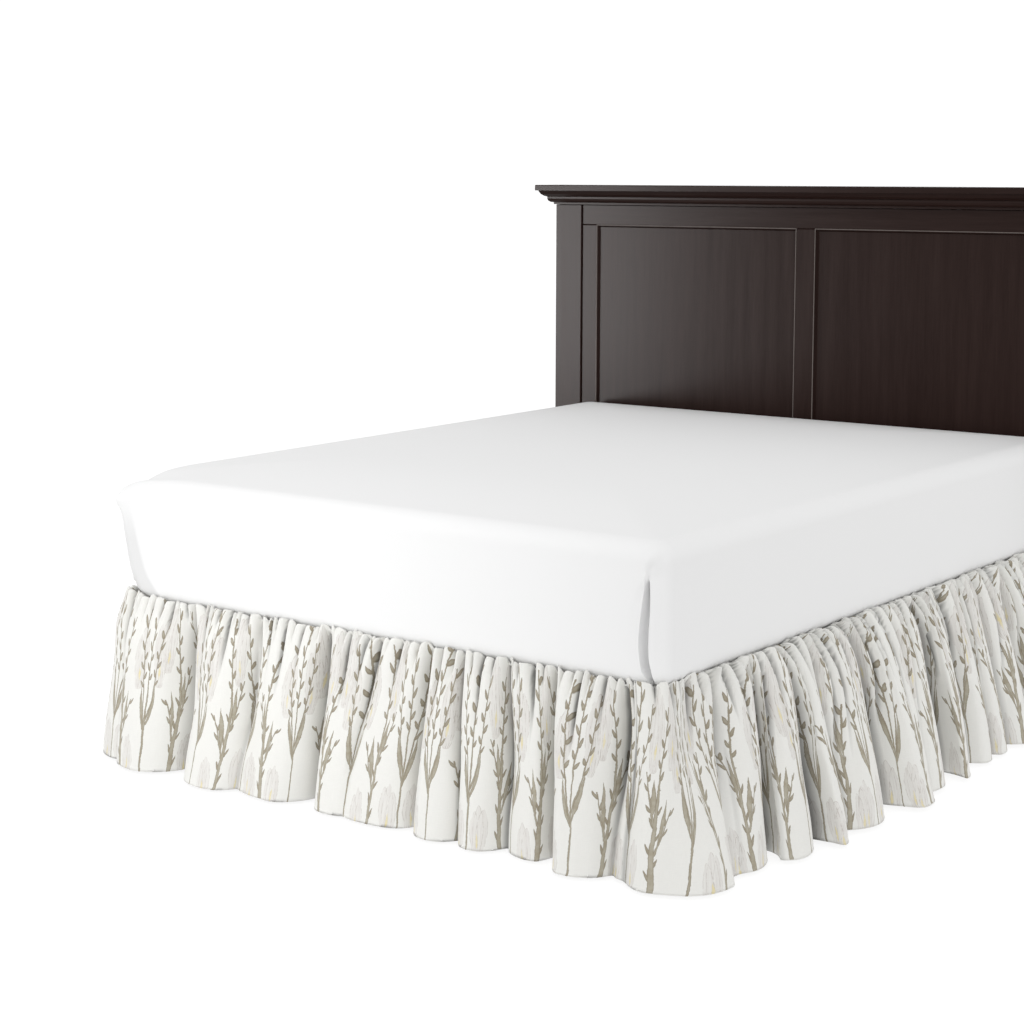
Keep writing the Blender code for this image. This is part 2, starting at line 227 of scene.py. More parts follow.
# %% Floor
FLOOR_SIZE = 60.0
FLOOR_COLOUR = (0.25, 0.25, 0.25, 1)
FLOOR_GLOW = 0.84
WHITE = (1, 1, 1, 1)

scene = bpy.context.scene
scene.view_settings.view_transform = "Standard"
bpy.ops.mesh.primitive_plane_add(size=FLOOR_SIZE, location=(0, 0, 0))
floor = bpy.context.object
floor.name = "floor"
floor_finish, shader = new_material("pale floor", 1.0, 0.0)
feed(shader.inputs["Base Color"], FLOOR_COLOUR)
feed(shader.inputs["Emission Color"], WHITE)
feed(shader.inputs["Emission Strength"], FLOOR_GLOW)
floor.data.materials.append(floor_finish)
floor.visible_diffuse = False
floor.visible_shadow = False
floor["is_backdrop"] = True
print("floor:", FLOOR_SIZE, "m square")

# %% Sky
SKY = [
    # height of a direction from -1, straight down, to 1, straight up, and its brightness
    (-1.00, 0.60),
    (-0.10, 0.74),
    (-0.05, 1.08),
    (0.12, 1.10),
    (0.30, 1.22),
    (0.60, 1.02),
    (1.00, 0.66),
]
SKY_SCALE = 2.0

world = bpy.data.worlds.new("studio")
scene.world = world
world.use_nodes = True
upward = axis_of(added(world.node_tree, "TexCoord", output="Generated"), 2)
rows = [((height + 1) / 2, bright / SKY_SCALE) for height, bright in SKY]
brightness = curve_of(upward.scaled(0.5, 0.5), rows, "VECTOR") * SKY_SCALE
background = world.node_tree.nodes["Background"]
feed(background.inputs["Strength"], brightness)
feed(background.inputs["Color"], WHITE)
print("sky rows:", len(SKY))

# %% [markdown]
# Two soft lights stand before the bed. The near one brightens the middle and left of the foot side.
# The tall one on the left only gives sheen: the satin wood mirrors it on the left of the headboard.

# %% Lights
SOFT_LIGHTS = [
    # name, place, aimed at, width, height, power, spread in degrees, lights cloth too
    ("left softbox", (-4.75, -3.75, 0.75), (-0.6, 1.0, 0.8), 1.9, 2.5, 510.0, 180, False),
    ("foot fill", (0.05, -3.2, 1.0), (-0.40, -1.0, 0.5), 1.0, 1.0, 2.6, 70, True),
]
for name, place, target, width, height, power, spread, lights_cloth in SOFT_LIGHTS:
    bpy.ops.object.light_add(type="AREA", location=place)
    lamp = bpy.context.object
    lamp.name = name
    lamp.data.shape = "RECTANGLE"
    lamp.data.size = width
    lamp.data.size_y = height
    lamp.data.energy = power
    lamp.data.spread = radians(spread)
    lamp.visible_diffuse = lights_cloth
    aim = Vector(target) - Vector(place)
    lamp.rotation_euler = aim.to_track_quat("-Z", "Y").to_euler()
print("lights:", [row[0] for row in SOFT_LIGHTS])

# %% [markdown]
# ## The edge line of the skirt
# The ruffle is sewn along the edge of the deck: up the left side, round the foot and up the right
# side, with small round corners. One number, the distance along this line, names a place on it.

# %% Edge line
EDGE_X = 0.762
EDGE_FOOT = -1.000
EDGE_HEAD = 0.990
EDGE_CORNER_RADIUS = 0.045
DECK_TOP = 0.388
SEAM_HEIGHT = DECK_TOP - 0.001

side_length = EDGE_HEAD - EDGE_FOOT - EDGE_CORNER_RADIUS
foot_length = 2 * (EDGE_X - EDGE_CORNER_RADIUS)
arc_length = pi / 2 * EDGE_CORNER_RADIUS
edge_length = 2 * side_length + foot_length + 2 * arc_length
SIDE_STARTS = {
    "left": 0.0,
    "foot": side_length + arc_length / 2,
    "right": side_length + arc_length * 1.5 + foot_length,
}


def corner_point(centre_x, centre_y, turn):
    out = Vector((cos(turn), sin(turn), 0))
    return Vector((centre_x, centre_y, 0)) + EDGE_CORNER_RADIUS * out, out


def edge_point(distance):
    """Place and outward direction at a distance along the edge line, from its left head end."""
    inner_x = EDGE_X - EDGE_CORNER_RADIUS
    inner_y = EDGE_FOOT + EDGE_CORNER_RADIUS
    if distance <= side_length:
        return Vector((-EDGE_X, EDGE_HEAD - distance, 0)), Vector((-1, 0, 0))
    distance -= side_length
    if distance <= arc_length:
        return corner_point(-inner_x, inner_y, pi + distance / EDGE_CORNER_RADIUS)
    distance -= arc_length
    if distance <= foot_length:
        return Vector((-inner_x + distance, EDGE_FOOT, 0)), Vector((0, -1, 0))
    distance -= foot_length
    if distance <= arc_length:
        return corner_point(inner_x, inner_y, 1.5 * pi + distance / EDGE_CORNER_RADIUS)
    distance -= arc_length
    return Vector((EDGE_X, inner_y + distance, 0)), Vector((1, 0, 0))


print("edge line:", round(edge_length, 3), "m")

# %% [markdown]
# ## The folds
# The main folds are the ones of the model's own ruffle, and two of them lean a little further here.
# Each row is a ridge or a valley, in millimetres: its place along the edge, how far the cloth
# stands out at the hem, how far its hem has swung sideways, how much further along it begins at
# the top, and how deeply it is pinched in a third of the way down.

# %% Fold tables
FOLD_TABLES = {
    # along, reach, lean, slide, pinch
    "left": [
        (0, 70, 0, 0, 0), (85, 165, 0, -4, 0), (160, 100, 0, -8, 10), (235, 180, 10, -12, 0),
        (325, 60, -40, -16, 0), (405, 190, 10, -20, 0), (470, 145, 0, -26, 10),
        (545, 200, 12, -30, 0), (640, 95, -30, -34, 0), (735, 222, 0, -32, 0),
        (800, 160, 0, -30, 8), (860, 190, 0, -26, 0), (950, 75, -55, -30, 0),
        (1045, 195, 10, -24, 0), (1120, 130, 0, -20, 12), (1185, 170, 0, -18, 0),
        (1270, 80, -30, -12, 0), (1365, 165, 0, -8, 0), (1435, 120, 0, 0, 12),
        (1500, 150, 8, 10, 0), (1590, 50, -20, 12, 0), (1680, 120, 0, 10, 0), (1755, 65, 0, 8, 10),
        (1830, 90, 0, 0, 0), (1905, 50, 0, 0, 8),
    ],
    "foot": [
        (0, 70, 0, 0, 0), (45, 64, 0, 0, 4), (142, 105, 0, 0, 0), (245, 24, -6, 10, 12),
        (350, 111, 8, 18, 0), (431, 64, 0, 26, 22), (545, 90, 0, 20, 0), (636, 6, -6, 34, 12),
        (706, 82, -6, 20, 0), (755, 72, 0, 70, 12), (845, 82, 0, 60, 0), (930, 45, 0, 25, 12),
        (1000, 90, -4, 0, 0), (1056, 53, 0, -20, 0), (1101, 86, 0, -20, 0), (1165, 32, 0, -14, 16),
        (1240, 66, 8, -14, 0), (1286, -2, -4, -14, 8), (1360, 92, -12, -40, 0),
        (1430, 46, 0, 4, 20), (1470, 56, 0, 0, 8),
    ],
    "right": [
        (0, 112, 0, 10, 0), (36, 140, 0, 24, 50), (76, 115, 0, 54, 0), (120, 119, 0, 68, 18),
        (165, 134, 8, 80, 0), (222, 60, 50, 60, 0), (262, 140, -22, 80, 0), (300, 173, -12, 84, 0),
        (350, 115, 34, 84, 0), (392, 200, 3, 90, 0), (455, 132, 8, 92, 14), (555, 196, 10, 104, 0),
        (640, 105, 45, 108, 0), (750, 222, 0, 114, 0), (828, 180, 2, 118, 12),
        (880, 192, 10, 124, 0), (945, 70, 58, 118, 0), (1000, 202, -2, 124, 0),
        (1060, 120, 35, 124, 0), (1160, 192, 8, 122, 0), (1198, 150, 15, 122, 12),
        (1238, 192, 0, 122, 0), (1305, 145, 10, 120, 12), (1372, 198, 0, 115, 0),
        (1450, 90, 30, 105, 0), (1545, 192, 0, 88, 0), (1625, 105, 20, 72, 0),
        (1705, 185, 8, 55, 0), (1785, 70, 20, 38, 0), (1870, 165, 0, 18, 0), (1975, 80, 0, 0, 0),
    ],
}  # fmt: skip
fold_rows = []
for side, folds in FOLD_TABLES.items():
    for along, *shape in folds:
        along_edge = SIDE_STARTS[side] + along / 1000
        fold_rows.append((along_edge, *(value / 1000 for value in shape)))
print(len(fold_rows), "ridges and valleys")

# %% [markdown]
# A fold is widest at its hem and closes towards the seam. This table gives how the cloth leaves
# the seam: it rolls out and up to the puffed heading, then falls over it.

# %% How the cloth hangs
HANG = [
    # down, roll_out, roll_up, depth
    (0.000, 0.0000, 0.0000, 0.00),
    (0.012, 0.0095, 0.0190, 0.00),
    (0.030, 0.0145, 0.0300, 0.03),
    (0.060, 0.0170, 0.0310, 0.12),
    (0.120, 0.0165, 0.0190, 0.38),
    (0.230, 0.0120, 0.0070, 0.70),
    (0.400, 0.0060, 0.0000, 0.91),
    (0.660, 0.0020, 0.0000, 0.99),
    (1.000, 0.0000, 0.0000, 1.00),
]
HEM_CLEAR = 0.007
HEM_LIFT = 0.12
FLARE_FADE = 1.25
SLIDE_FADE = 1.1
PINCH_SCALE = 6.75


def smooth_row(table, place):
    """Reads a table at a place between its rows, on a smooth curve through them."""
    places = [row[0] for row in table]
    i = max(1, min(len(table) - 2, sum(1 for p in places if p <= place))) - 1
    span = places[i + 1] - places[i]
    part = (place - places[i]) / span
    before, after = max(i - 1, 0), min(i + 2, len(table) - 1)
    p2, p3 = part * part, part * part * part
    values = []
    for column in range(1, len(table[0])):
        here, there = table[i][column], table[i + 1][column]
        slope_here = (there - table[before][column]) / (places[i + 1] - places[before]) * span
        slope_there = (table[after][column] - here) / (places[after] - places[i]) * span
        values.append(
            (2 * p3 - 3 * p2 + 1) * here
            + (p3 - 2 * p2 + part) * slope_here
            + (3 * p2 - 2 * p3) * there
            + (p3 - p2) * slope_there
        )
    return values


print("halfway down:", [round(value, 4) for value in smooth_row(HANG, 0.5)])

# %% [markdown]
# Between two rows the cloth is eased with a cosine, which keeps ridges and valleys round. Real
# folds are broad on the ridge and tight in the valley. Near the heading a valley is only a narrow
# crease, and further down it opens, so its easing depends on how far down the cloth it is. The
# mean reach of the neighbours is the flare that all of them share.

# %% Ease the folds
VALLEY_SHARPNESS = 0.60
NARROW_POWER = 3.4
OPENING = (0.05, 0.70)
HEM_OPENING = 0.35
NEIGHBOURS = 2

FOLDS = []
for i, row in enumerate(fold_rows):
    near = [reach for _, reach, *_ in fold_rows[max(i - NEIGHBOURS, 0) : i + NEIGHBOURS + 1]]
    FOLDS.append((*row, sum(near) / len(near)))
fold_places = [fold[0] for fold in FOLDS]


def eased(low, high, part):
    return low + (1 - cos(pi * part)) / 2 * (high - low)


def ramp(value):
    return min(1.0, max(0.0, value))


def step_up(value, low, high):
    """0 below low, 1 above high, and a smooth step between them."""
    part = ramp((value - low) / (high - low))
    return part * part * (3 - 2 * part)


def bell(away, width):
    return exp(-((away / width) ** 2))


def column_at(distance):
    """The shape of the cloth at a distance along the edge: the valley and the ridge beside it, as
    reach and pinch, the share of the way between them, and the eased lean, slide and mean reach."""
    i = min(max(bisect.bisect_right(fold_places, distance) - 1, 0), len(FOLDS) - 2)
    here, there = FOLDS[i], FOLDS[i + 1]
    part = min(1.0, (distance - here[0]) / (there[0] - here[0]))
    lean, slide, mean = (eased(here[k], there[k], part) for k in (2, 3, 5))
    if there[1] < here[1]:
        here, there, part = there, here, 1 - part
    return (here[1], here[4]), (there[1], there[4]), part, lean, slide, mean


def slide_at(distance):
    return column_at(distance)[4]


def reach_at(column, down):
    """Reach and pinch of the cloth part of the way down a column."""
    valley, ridge, part = column[:3]
    wide = (1 - cos(pi * part)) / 2
    wide += VALLEY_SHARPNESS * (sin(pi / 2 * part) - wide)
    narrow = 1 - (1 - part) ** NARROW_POWER
    share = narrow + HEM_OPENING * step_up(down, *OPENING) * (wide - narrow)
    return [low + share * (high - low) for low, high in zip(valley, ridge)]


print("reach at the middle of the foot:", round(column_at(edge_length / 2)[1][0], 3), "m")

# %% [markdown]
# ## Gathers of the heading
# A gathering thread pulls the strip of cloth together along its top. Between two stitches the
# cloth puffs out in a small round lobe, and at a stitch it is drawn in to a sharp crease. The main
# valleys start at stitches, and so do the deep puckers of this table. The stitches
# between them are drawn at random distances from a fixed seed.

# %% Puckers
PUCKERS = {
    # side: place along it at the seam, depth, and how far down the crease runs
    "left": [
        (0.1, 0.8, 0.2), (0.38, 1.0, 0.25), (0.62, 0.9, 0.2), (0.88, 1.0, 0.3), (1.1, 0.8, 0.18),
        (1.33, 1.0, 0.26), (1.52, 0.9, 0.2), (1.72, 0.8, 0.18), (1.86, 0.9, 0.2),
    ],
    "foot": [
        (0.06, 0.8, 0.14), (0.12, 0.9, 0.18), (0.19, 0.7, 0.12), (0.3, 0.8, 0.16),
        (0.372, 0.9, 0.2), (0.492, 0.8, 0.16), (0.543, 1.0, 0.22), (0.6, 0.7, 0.14),
        (0.737, 1.0, 0.24), (0.79, 0.8, 0.15), (0.88, 0.8, 0.16), (0.985, 1.0, 0.22),
        (1.014, 0.7, 0.14), (1.087, 0.9, 0.22), (1.144, 1.2, 0.3), (1.214, 0.9, 0.22),
        (1.337, 1.0, 0.24), (1.395, 0.7, 0.14), (1.452, 0.8, 0.16),
    ],
    "right": [
        (0.02, 0.7, 0.14), (0.067, 0.8, 0.16), (0.103, 0.7, 0.14), (0.14, 1.1, 0.26),
        (0.178, 0.7, 0.16), (0.214, 1.1, 0.26), (0.325, 1.2, 0.34), (0.4, 0.8, 0.18),
        (0.473, 1.1, 0.3), (0.52, 0.7, 0.16), (0.577, 1.2, 0.36), (0.64, 0.8, 0.18),
        (0.69, 0.9, 0.22), (0.78, 1.1, 0.28), (0.855, 1.1, 0.3), (0.905, 0.8, 0.18),
        (0.975, 1.0, 0.26), (1.02, 0.9, 0.2), (1.1, 0.9, 0.24), (1.235, 0.8, 0.2),
        (1.285, 1.1, 0.28), (1.385, 1.0, 0.26), (1.47, 0.9, 0.24), (1.53, 1.0, 0.26),
        (1.6, 0.8, 0.2), (1.73, 0.9, 0.22), (1.85, 0.8, 0.2), (1.93, 0.8, 0.2),
    ],
}  # fmt: skip
valleys = [
    here[0] + here[3]
    for before, here, after in zip(FOLDS, FOLDS[1:], FOLDS[2:])
    if here[1] <= before[1] and here[1] <= after[1]
]
puckers = sorted(
    (SIDE_STARTS[side] + along, depth, length)
    for side, rows in PUCKERS.items()
    for along, depth, length in rows
)
print(len(valleys), "valleys,", len(puckers), "puckers")

# %% Stitches
GATHER_SEED = 11
GATHER_WIDTH = (0.009, 0.034)
GATHER_LEAST = 0.009
# Each crease has a depth, a width and a length as a share of the drop.
SMALL_CREASE = ((0.001, 0.012), (0.0026, 0.0042), (0.02, 0.11))
PUCKER_CREASE = (0.026, 0.0070, 1.20)
VALLEY_CREASE = (0.028, 0.0080, 0.60)
NO_CREASE = (0.0, 0.005, 0.1)
# On the right side the gathers are broader, and their creases deeper, wider and longer.
COARSE_START = (-0.04, 0.20)
COARSE_WIDTH = 0.30
COARSE_CREASE = (1.1, 0.4, 1.6)


def coarse_at(place):
    """1 on the right side, where the gathers are coarser, and 0 elsewhere."""
    return step_up(place, *(SIDE_STARTS["right"] + shift for shift in COARSE_START))


random.seed(GATHER_SEED)
stitches = [(0.0, *NO_CREASE)]
anchors = [(place, *VALLEY_CREASE) for place in valleys]
for place, depth, length in puckers:
    if min(abs(place - valley) for valley in valleys) > GATHER_LEAST:
        deepest, width, longest = PUCKER_CREASE
        anchors.append((place, deepest * depth, width, longest * length))
for anchor in sorted([*anchors, (edge_length, *NO_CREASE)]):
    stop = anchor[0]
    while True:
        last = stitches[-1][0]
        coarse = coarse_at(last)
        broad = 1 + COARSE_WIDTH * coarse
        if stop - last <= GATHER_WIDTH[1] * broad:
            break
        place = last + min(random.uniform(*GATHER_WIDTH) * broad, stop - last - GATHER_LEAST)
        crease = [random.uniform(*limits) for limits in SMALL_CREASE]
        coarser = [size * (1 + more * coarse) for size, more in zip(crease, COARSE_CREASE)]
        stitches.append((place, *coarser))
    if stop - stitches[-1][0] >= GATHER_LEAST:
        stitches.append(anchor)
stitch_places = [stitch[0] for stitch in stitches]
print(len(stitches), "stitches")

# %% Gathers
GATHER_BULGE = 0.42
GATHER_WIDEST = 0.045
GATHER_FADE = (0.016, 1.4)
GATHER_START = 0.025
GATHER_SHAPE = 0.60
GATHER_DRIFT = 0.45
DRIFT_FADE = 4.0
DRIFT_WAVES = ((0.25, 3.1, 7.3), (0.12, 13.0, 2.3))
COARSE_REACH = 0.7
COARSE_BULGE = 0.5
GATHER_SPREADS = [
    # the least and the most of a gather's size, tilt, length and lift
    (0.3, 1.6),
    (-0.5, 0.9),
    (0.5, 2.0),
    (0.78, 1.10),
]
gathers = [[random.uniform(*spread) for spread in GATHER_SPREADS] for _ in stitches[1:]]


def wave(x, y, z):
    return noise.noise(Vector((x, y, z)))


def drifted(place, down):
    """Creases don't run straight down: this is the stitch that a place further down belongs to."""
    slant = sum(size * wave(often * place, row, 0.0) for size, often, row in DRIFT_WAVES)
    slant -= GATHER_DRIFT * coarse_at(place)
    return place + slant * down * exp(-DRIFT_FADE * down)


def gather_at(place, down):
    """A gather's share of its full lobe, how far it puffs out and leans sideways, and its lift."""
    place = min(max(place, 0.0), edge_length - 1e-6)
    i = bisect.bisect_right(stitch_places, place) - 1
    size, tilt, length, lift = gathers[i]
    width = stitch_places[i + 1] - stitch_places[i]
    lobe = sin(pi * (place - stitch_places[i]) / width) ** GATHER_SHAPE
    coarse = coarse_at(place)
    reach = (GATHER_FADE[0] + GATHER_FADE[1] * width) * length * (1 + COARSE_REACH * coarse)
    fade = exp(-((down / reach) ** 1.5)) * min(1.0, down / GATHER_START)
    bulge = GATHER_BULGE * min(width, GATHER_WIDEST) * size * fade * (1 + COARSE_BULGE * coarse)
    return lobe, bulge * (lobe - 0.5), bulge * tilt * lobe * lobe, lift


print(len(gathers), "gathers")

# %% [markdown]
# Each stitch draws the cloth in to a crease that fades down the cloth: a small one at most
# stitches, a long one at a pucker. The valley of a main fold is tucked in behind its ridges all the
# way down, so that a deep shadow lies in it.

# %% Creases
CREASE_START = 0.030
TUCK_SHARE = 0.95
TUCK_FINE = 0.55
TUCK_COARSE = 0.45
TUCK_WIDTH = 0.013
TUCK_RISE = (0.04, 0.26)


def away_from(places, place):
    """The way to the nearest of some sorted places."""
    i = bisect.bisect_left(places, place)
    return min((near - place for near in places[max(i - 1, 0) : i + 1]), key=abs)


def crease_at(place, down):
    """How far the stitches on both sides draw the cloth in."""
    i = min(max(bisect.bisect_right(stitch_places, place) - 1, 0), len(stitches) - 2)
    drawn = 0.0
    for stitch, depth, width, length in stitches[i : i + 2]:
        drawn += depth * bell(stitch - place, width) * bell(down, length)
    return drawn * min(1.0, down / CREASE_START)


def tuck_at(place, down, hollow):
    """How far a valley is tucked in. Hollow: how far the folds round it stand out beyond it."""
    share = TUCK_SHARE * (TUCK_FINE + TUCK_COARSE * coarse_at(place))
    return share * hollow * step_up(down, *TUCK_RISE) * bell(away_from(valleys, place), TUCK_WIDTH)


print("deepest crease:", round(1000 * max(stitch[1] for stitch in stitches)), "mm")

# %% [markdown]
# Nothing in hung cloth is quite straight. Two slow noises give it soft troughs between the folds,
# and make the folds sway a little on their way down.

# %% Unevenness
TROUGH_DEPTH = 0.011
TROUGH_START = 0.15
TROUGH_FADE = 0.55
SWAY = 0.012
SLANT = 0.10


def unevenness(place, down):
    """A soft swell outwards, and a sway sideways."""
    slant = place + SLANT * wave(1.7 * place, 0.0, 4.0) * down
    swell = wave(17.0 * slant, 1.3 * down, 5.0)
    swell += 0.5 * wave(38.0 * slant, 1.8 * down, 9.0) * (1 - down)
    sway = wave(3.6 * place, 2.3 * down, 12.0)
    return (
        TROUGH_DEPTH * swell * min(1.0, down / TROUGH_START) * (1 - TROUGH_FADE * down),
        SWAY * sway * sin(pi * min(1.0, 0.8 * down)),
    )


print("swell at 1 m:", [round(1000 * value, 1) for value in unevenness(1.0, 0.5)], "mm")

# %% [markdown]
# ## The ruffle
# The ruffle is one strip of cloth. It starts as a flat grid, a row of cells for each step down the
# cloth, and each point of the grid is then carried to where the folds hold it. A grid is the plain
# way to make hung cloth by hand: its rows and columns are the threads, so a print on its UV map
# follows the folds as it does on real cloth. The rows are closer near the top, where the small
# gathers are. At the far foot corner the heading is pressed in and down under the mattress.

# %% Room for the bed
MATTRESS_BOTTOM = DECK_TOP + 0.0003
MATTRESS_BOTTOM_ROUND = 0.028
MATTRESS_OVERHANG = 0.008
CLEAR_OF_MATTRESS = 0.0026
CLEAR_OF_FOUNDATION = -0.036
DECK_BAND = (0.3825, 0.3905)


def clear_of_bed(z):
    """The least distance out from the edge line that keeps the cloth clear of the bed."""
    if DECK_BAND[0] < z < DECK_BAND[1]:
        return 0.0
    if z < MATTRESS_BOTTOM - CLEAR_OF_MATTRESS:
        return CLEAR_OF_FOUNDATION
    rise = min(max(z - MATTRESS_BOTTOM, 0.0), MATTRESS_BOTTOM_ROUND) / MATTRESS_BOTTOM_ROUND
    inset = MATTRESS_BOTTOM_ROUND * (1 - sqrt(1 - (1 - rise) ** 2))
    return MATTRESS_OVERHANG - inset + CLEAR_OF_MATTRESS


print("clear at the hem:", clear_of_bed(0.0), "m")

# %% Place of one point of cloth
LOBE_OUT = 1.05
LOBE_RISE = 1.04
STITCH_OUT = 0.50
STITCH_RISE = 0.62
ROLL_FADE = (0.045, 0.13)
NOTCH_WIDTH = 0.0035
NOTCH_DEPTH = 0.4
TUCKED_CORNER = side_length + arc_length * 0.4
TUCKED_REACH = 0.085
TUCKED_FADE = (0.03, 0.22)
TUCKED_IN = 0.020
CORNER_DRAWN = 0.020
CORNER_PUFF = 0.6
CORNER_CREASE = 0.75
BEHIND_REACH = (0.22, 0.14)
BEHIND_LOW = 0.75


def cloth_point(distance, column, hang, down):
    """Where the cloth of one column hangs, part of the way down."""
    lean, slide, mean = column[3:]
    reach, pinch = reach_at(column, down)
    roll_out, roll_up, depth = hang
    up = 1 - down
    top_place = distance + slide
    place, out = edge_point(distance + slide * up**SLIDE_FADE)
    sideways = Vector((-out.y, out.x, 0))
    stitch_place = drifted(top_place, down)
    lobe, puff, tilt, lift = gather_at(stitch_place, down)
    swell, sway = unevenness(top_place, down)
    notch = bell(away_from(stitch_places, stitch_place), NOTCH_WIDTH)
    corner = bell(distance - TUCKED_CORNER, TUCKED_REACH)
    behind = bell(distance - TUCKED_CORNER + BEHIND_REACH[0], BEHIND_REACH[1])
    tucked = corner * (1 - step_up(down, *TUCKED_FADE))
    flare = mean * (1 - up**FLARE_FADE)
    third = PINCH_SCALE * down * up * up
    hem = HEM_CLEAR + HEM_LIFT * reach * reach
    dip = (1 - lobe) * (1 - step_up(down, *ROLL_FADE))
    out_by = roll_out * (LOBE_OUT - (LOBE_OUT - STITCH_OUT) * dip)
    out_by += puff * (1 - CORNER_PUFF * corner)
    out_by -= TUCKED_IN * tucked
    out_by += flare + (reach - mean) * depth - pinch * third
    out_by += swell - crease_at(stitch_place, down) * (1 - CORNER_CREASE * corner)
    out_by -= tuck_at(top_place, down, max(0.0, mean - reach))
    rise = LOBE_RISE - (LOBE_RISE - STITCH_RISE) * dip + (lift - 1) * lobe
    rise *= (1 - NOTCH_DEPTH * notch) * (1 - BEHIND_LOW * behind)
    z = SEAM_HEIGHT + roll_up * rise - down * (SEAM_HEIGHT - hem)
    least = clear_of_bed(z)
    if z >= DECK_BAND[1]:
        least -= CORNER_DRAWN * corner
    point = place + out * max(out_by, least) + sideways * (lean * depth + tilt + sway)
    point.z = max(z, hem)
    return point


# %% [markdown]
# The columns of the grid stand closer together where the cloth creases, and wider apart on the
# side that is seldom seen. Many probes along the edge weigh how close they should be.

# %% Columns and rows of the grid
COLUMNS = 1800
DOWNS = [
    0.0, 0.006, 0.014, 0.024, 0.035, 0.048, 0.064, 0.082, 0.103, 0.128, 0.158, 0.192, 0.232,
    0.280, 0.335, 0.395, 0.460, 0.530, 0.600, 0.670, 0.740, 0.805, 0.865, 0.915, 0.955, 0.982, 1.0,
]  # fmt: skip
PROBES = 10000
PROBE_STEP = 0.004
MOST_STRETCH = 2.5
CLOSER_AT_CREASE = 1.8
VALLEY_NEAR = 0.018
STITCH_NEAR = 0.005
STITCH_WEIGHT = 0.8
SELDOM_SEEN = 0.55

probe_weights = []
for i in range(PROBES):
    probe = edge_length * (i + 0.5) / PROBES
    top_place = probe + slide_at(probe)
    next_slide = slide_at(probe + PROBE_STEP)
    stretch = 1 + abs(probe + PROBE_STEP + next_slide - top_place - PROBE_STEP) / PROBE_STEP
    crease = max(
        bell(away_from(valleys, top_place), VALLEY_NEAR),
        STITCH_WEIGHT * bell(away_from(stitch_places, top_place), STITCH_NEAR),
    )
    seen = SELDOM_SEEN if probe < side_length - 0.1 else 1.0
    probe_weights.append(seen * min(stretch, MOST_STRETCH) * (1 + CLOSER_AT_CREASE * crease))
reached = [0.0]
for weight in probe_weights:
    reached.append(reached[-1] + weight)
distances = []
for i in range(COLUMNS + 1):
    wanted = reached[-1] * i / COLUMNS
    k = min(bisect.bisect_right(reached, wanted) - 1, PROBES - 1)
    distances.append(edge_length * (k + (wanted - reached[k]) / probe_weights[k]) / PROBES)
steps = [there - here for here, there in zip(distances, distances[1:])]
print("columns", round(1000 * min(steps), 2), "to", round(1000 * max(steps), 2), "mm apart")

# %% [markdown]
# The hem is the longest row, so the flat cloth is measured along it. The threads of the print
# follow the slant that neighbouring folds share, but not the slant of one fold alone.

# %% Threads of the flat cloth
DROP_OF_CLOTH = 0.430
MOST_FULL = 3.3
THREAD_REACH = 0.18
THREAD_STEPS = 5

columns = [column_at(distance) for distance in distances]
hangs = [smooth_row(HANG, down) for down in DOWNS]
hem = [cloth_point(d, c, hangs[-1], 1.0) for d, c in zip(distances, columns)]
across = [0.0]
for here, there, step in zip(hem, hem[1:], steps):
    across.append(across[-1] + min((there - here).length, MOST_FULL * step))


def on_edge(distance):
    return min(max(distance, 0.0), edge_length)


def across_at(distance):
    """How far across the flat cloth the thread lies that hangs at this place on the edge."""
    distance = on_edge(distance)
    i = min(bisect.bisect_right(distances, distance) - 1, COLUMNS - 1)
    part = (distance - distances[i]) / (distances[i + 1] - distances[i])
    return across[i] + part * (across[i + 1] - across[i])


def local_slide(distance, slide):
    """How much the slide here differs from the slide of the cloth round it."""
    around = [
        slide_at(on_edge(distance + THREAD_REACH * k / THREAD_STEPS))
        for k in range(-THREAD_STEPS, THREAD_STEPS + 1)
    ]
    return slide - sum(around) / len(around)


# %% [markdown]
# A sewn hem is stiffer than the cloth above it, so the folds are rounded a little on their way
# down. Little light reaches cloth deep in a fold or crease. How far a point lies in behind its
# neighbours is kept as an attribute of the mesh, and the print's finish reads it to darken the
# colour there: a painted shade.

# %% Round and measure the folds
ROUNDING = 8
ROUNDING_RISE = (0.20, 0.80)
HOLLOWS = [
    # columns to each side, full depth, and the share of it that counts where gathers are fine
    (4, 0.012, 1.0),
    (17, 0.050, 0.30),
]


def rounded_row(row, passes):
    """Rounds a row of cloth sideways, a little with each pass."""
    for _ in range(passes):
        inner = [(a + b * 2 + c) / 4 for a, b, c in zip(row, row[1:], row[2:])]
        row = [row[0], *inner, row[-1]]
    return row


def hollow_of(row, i, out, coarse):
    """How far a point lies in behind its neighbours in the row, from 0 to 1."""
    deepest = 0.0
    for reach, full, fine_share in HOLLOWS:
        before, after = row[max(i - reach, 0)], row[min(i + reach, COLUMNS)]
        sag = ((before + after) / 2 - row[i]).dot(out) / full
        deepest = max(deepest, sag * (fine_share + (1 - fine_share) * coarse))
    return min(1.0, deepest)


points, flat, hollows = [], [], []
outs = [(edge_point(distance)[1], coarse_at(distance)) for distance in distances]
slides = [local_slide(distance, column[4]) for distance, column in zip(distances, columns)]
for down, hang in reversed(list(zip(DOWNS, hangs))):
    row = [cloth_point(d, c, hang, down) for d, c in zip(distances, columns)]
    row = rounded_row(row, round(ROUNDING * step_up(down, *ROUNDING_RISE)))
    for i, point in enumerate(row):
        points.extend(point)
        hollows.append(hollow_of(row, i, *outs[i]))
    for distance, slide in zip(distances, slides):
        threads_at = distance + slide * (1 - down) ** SLIDE_FADE
        flat.append((across_at(threads_at), (1 - down) * DROP_OF_CLOTH))
print("points of cloth:", len(flat))

# %% Make the ruffle
CLOTH = 0.0014

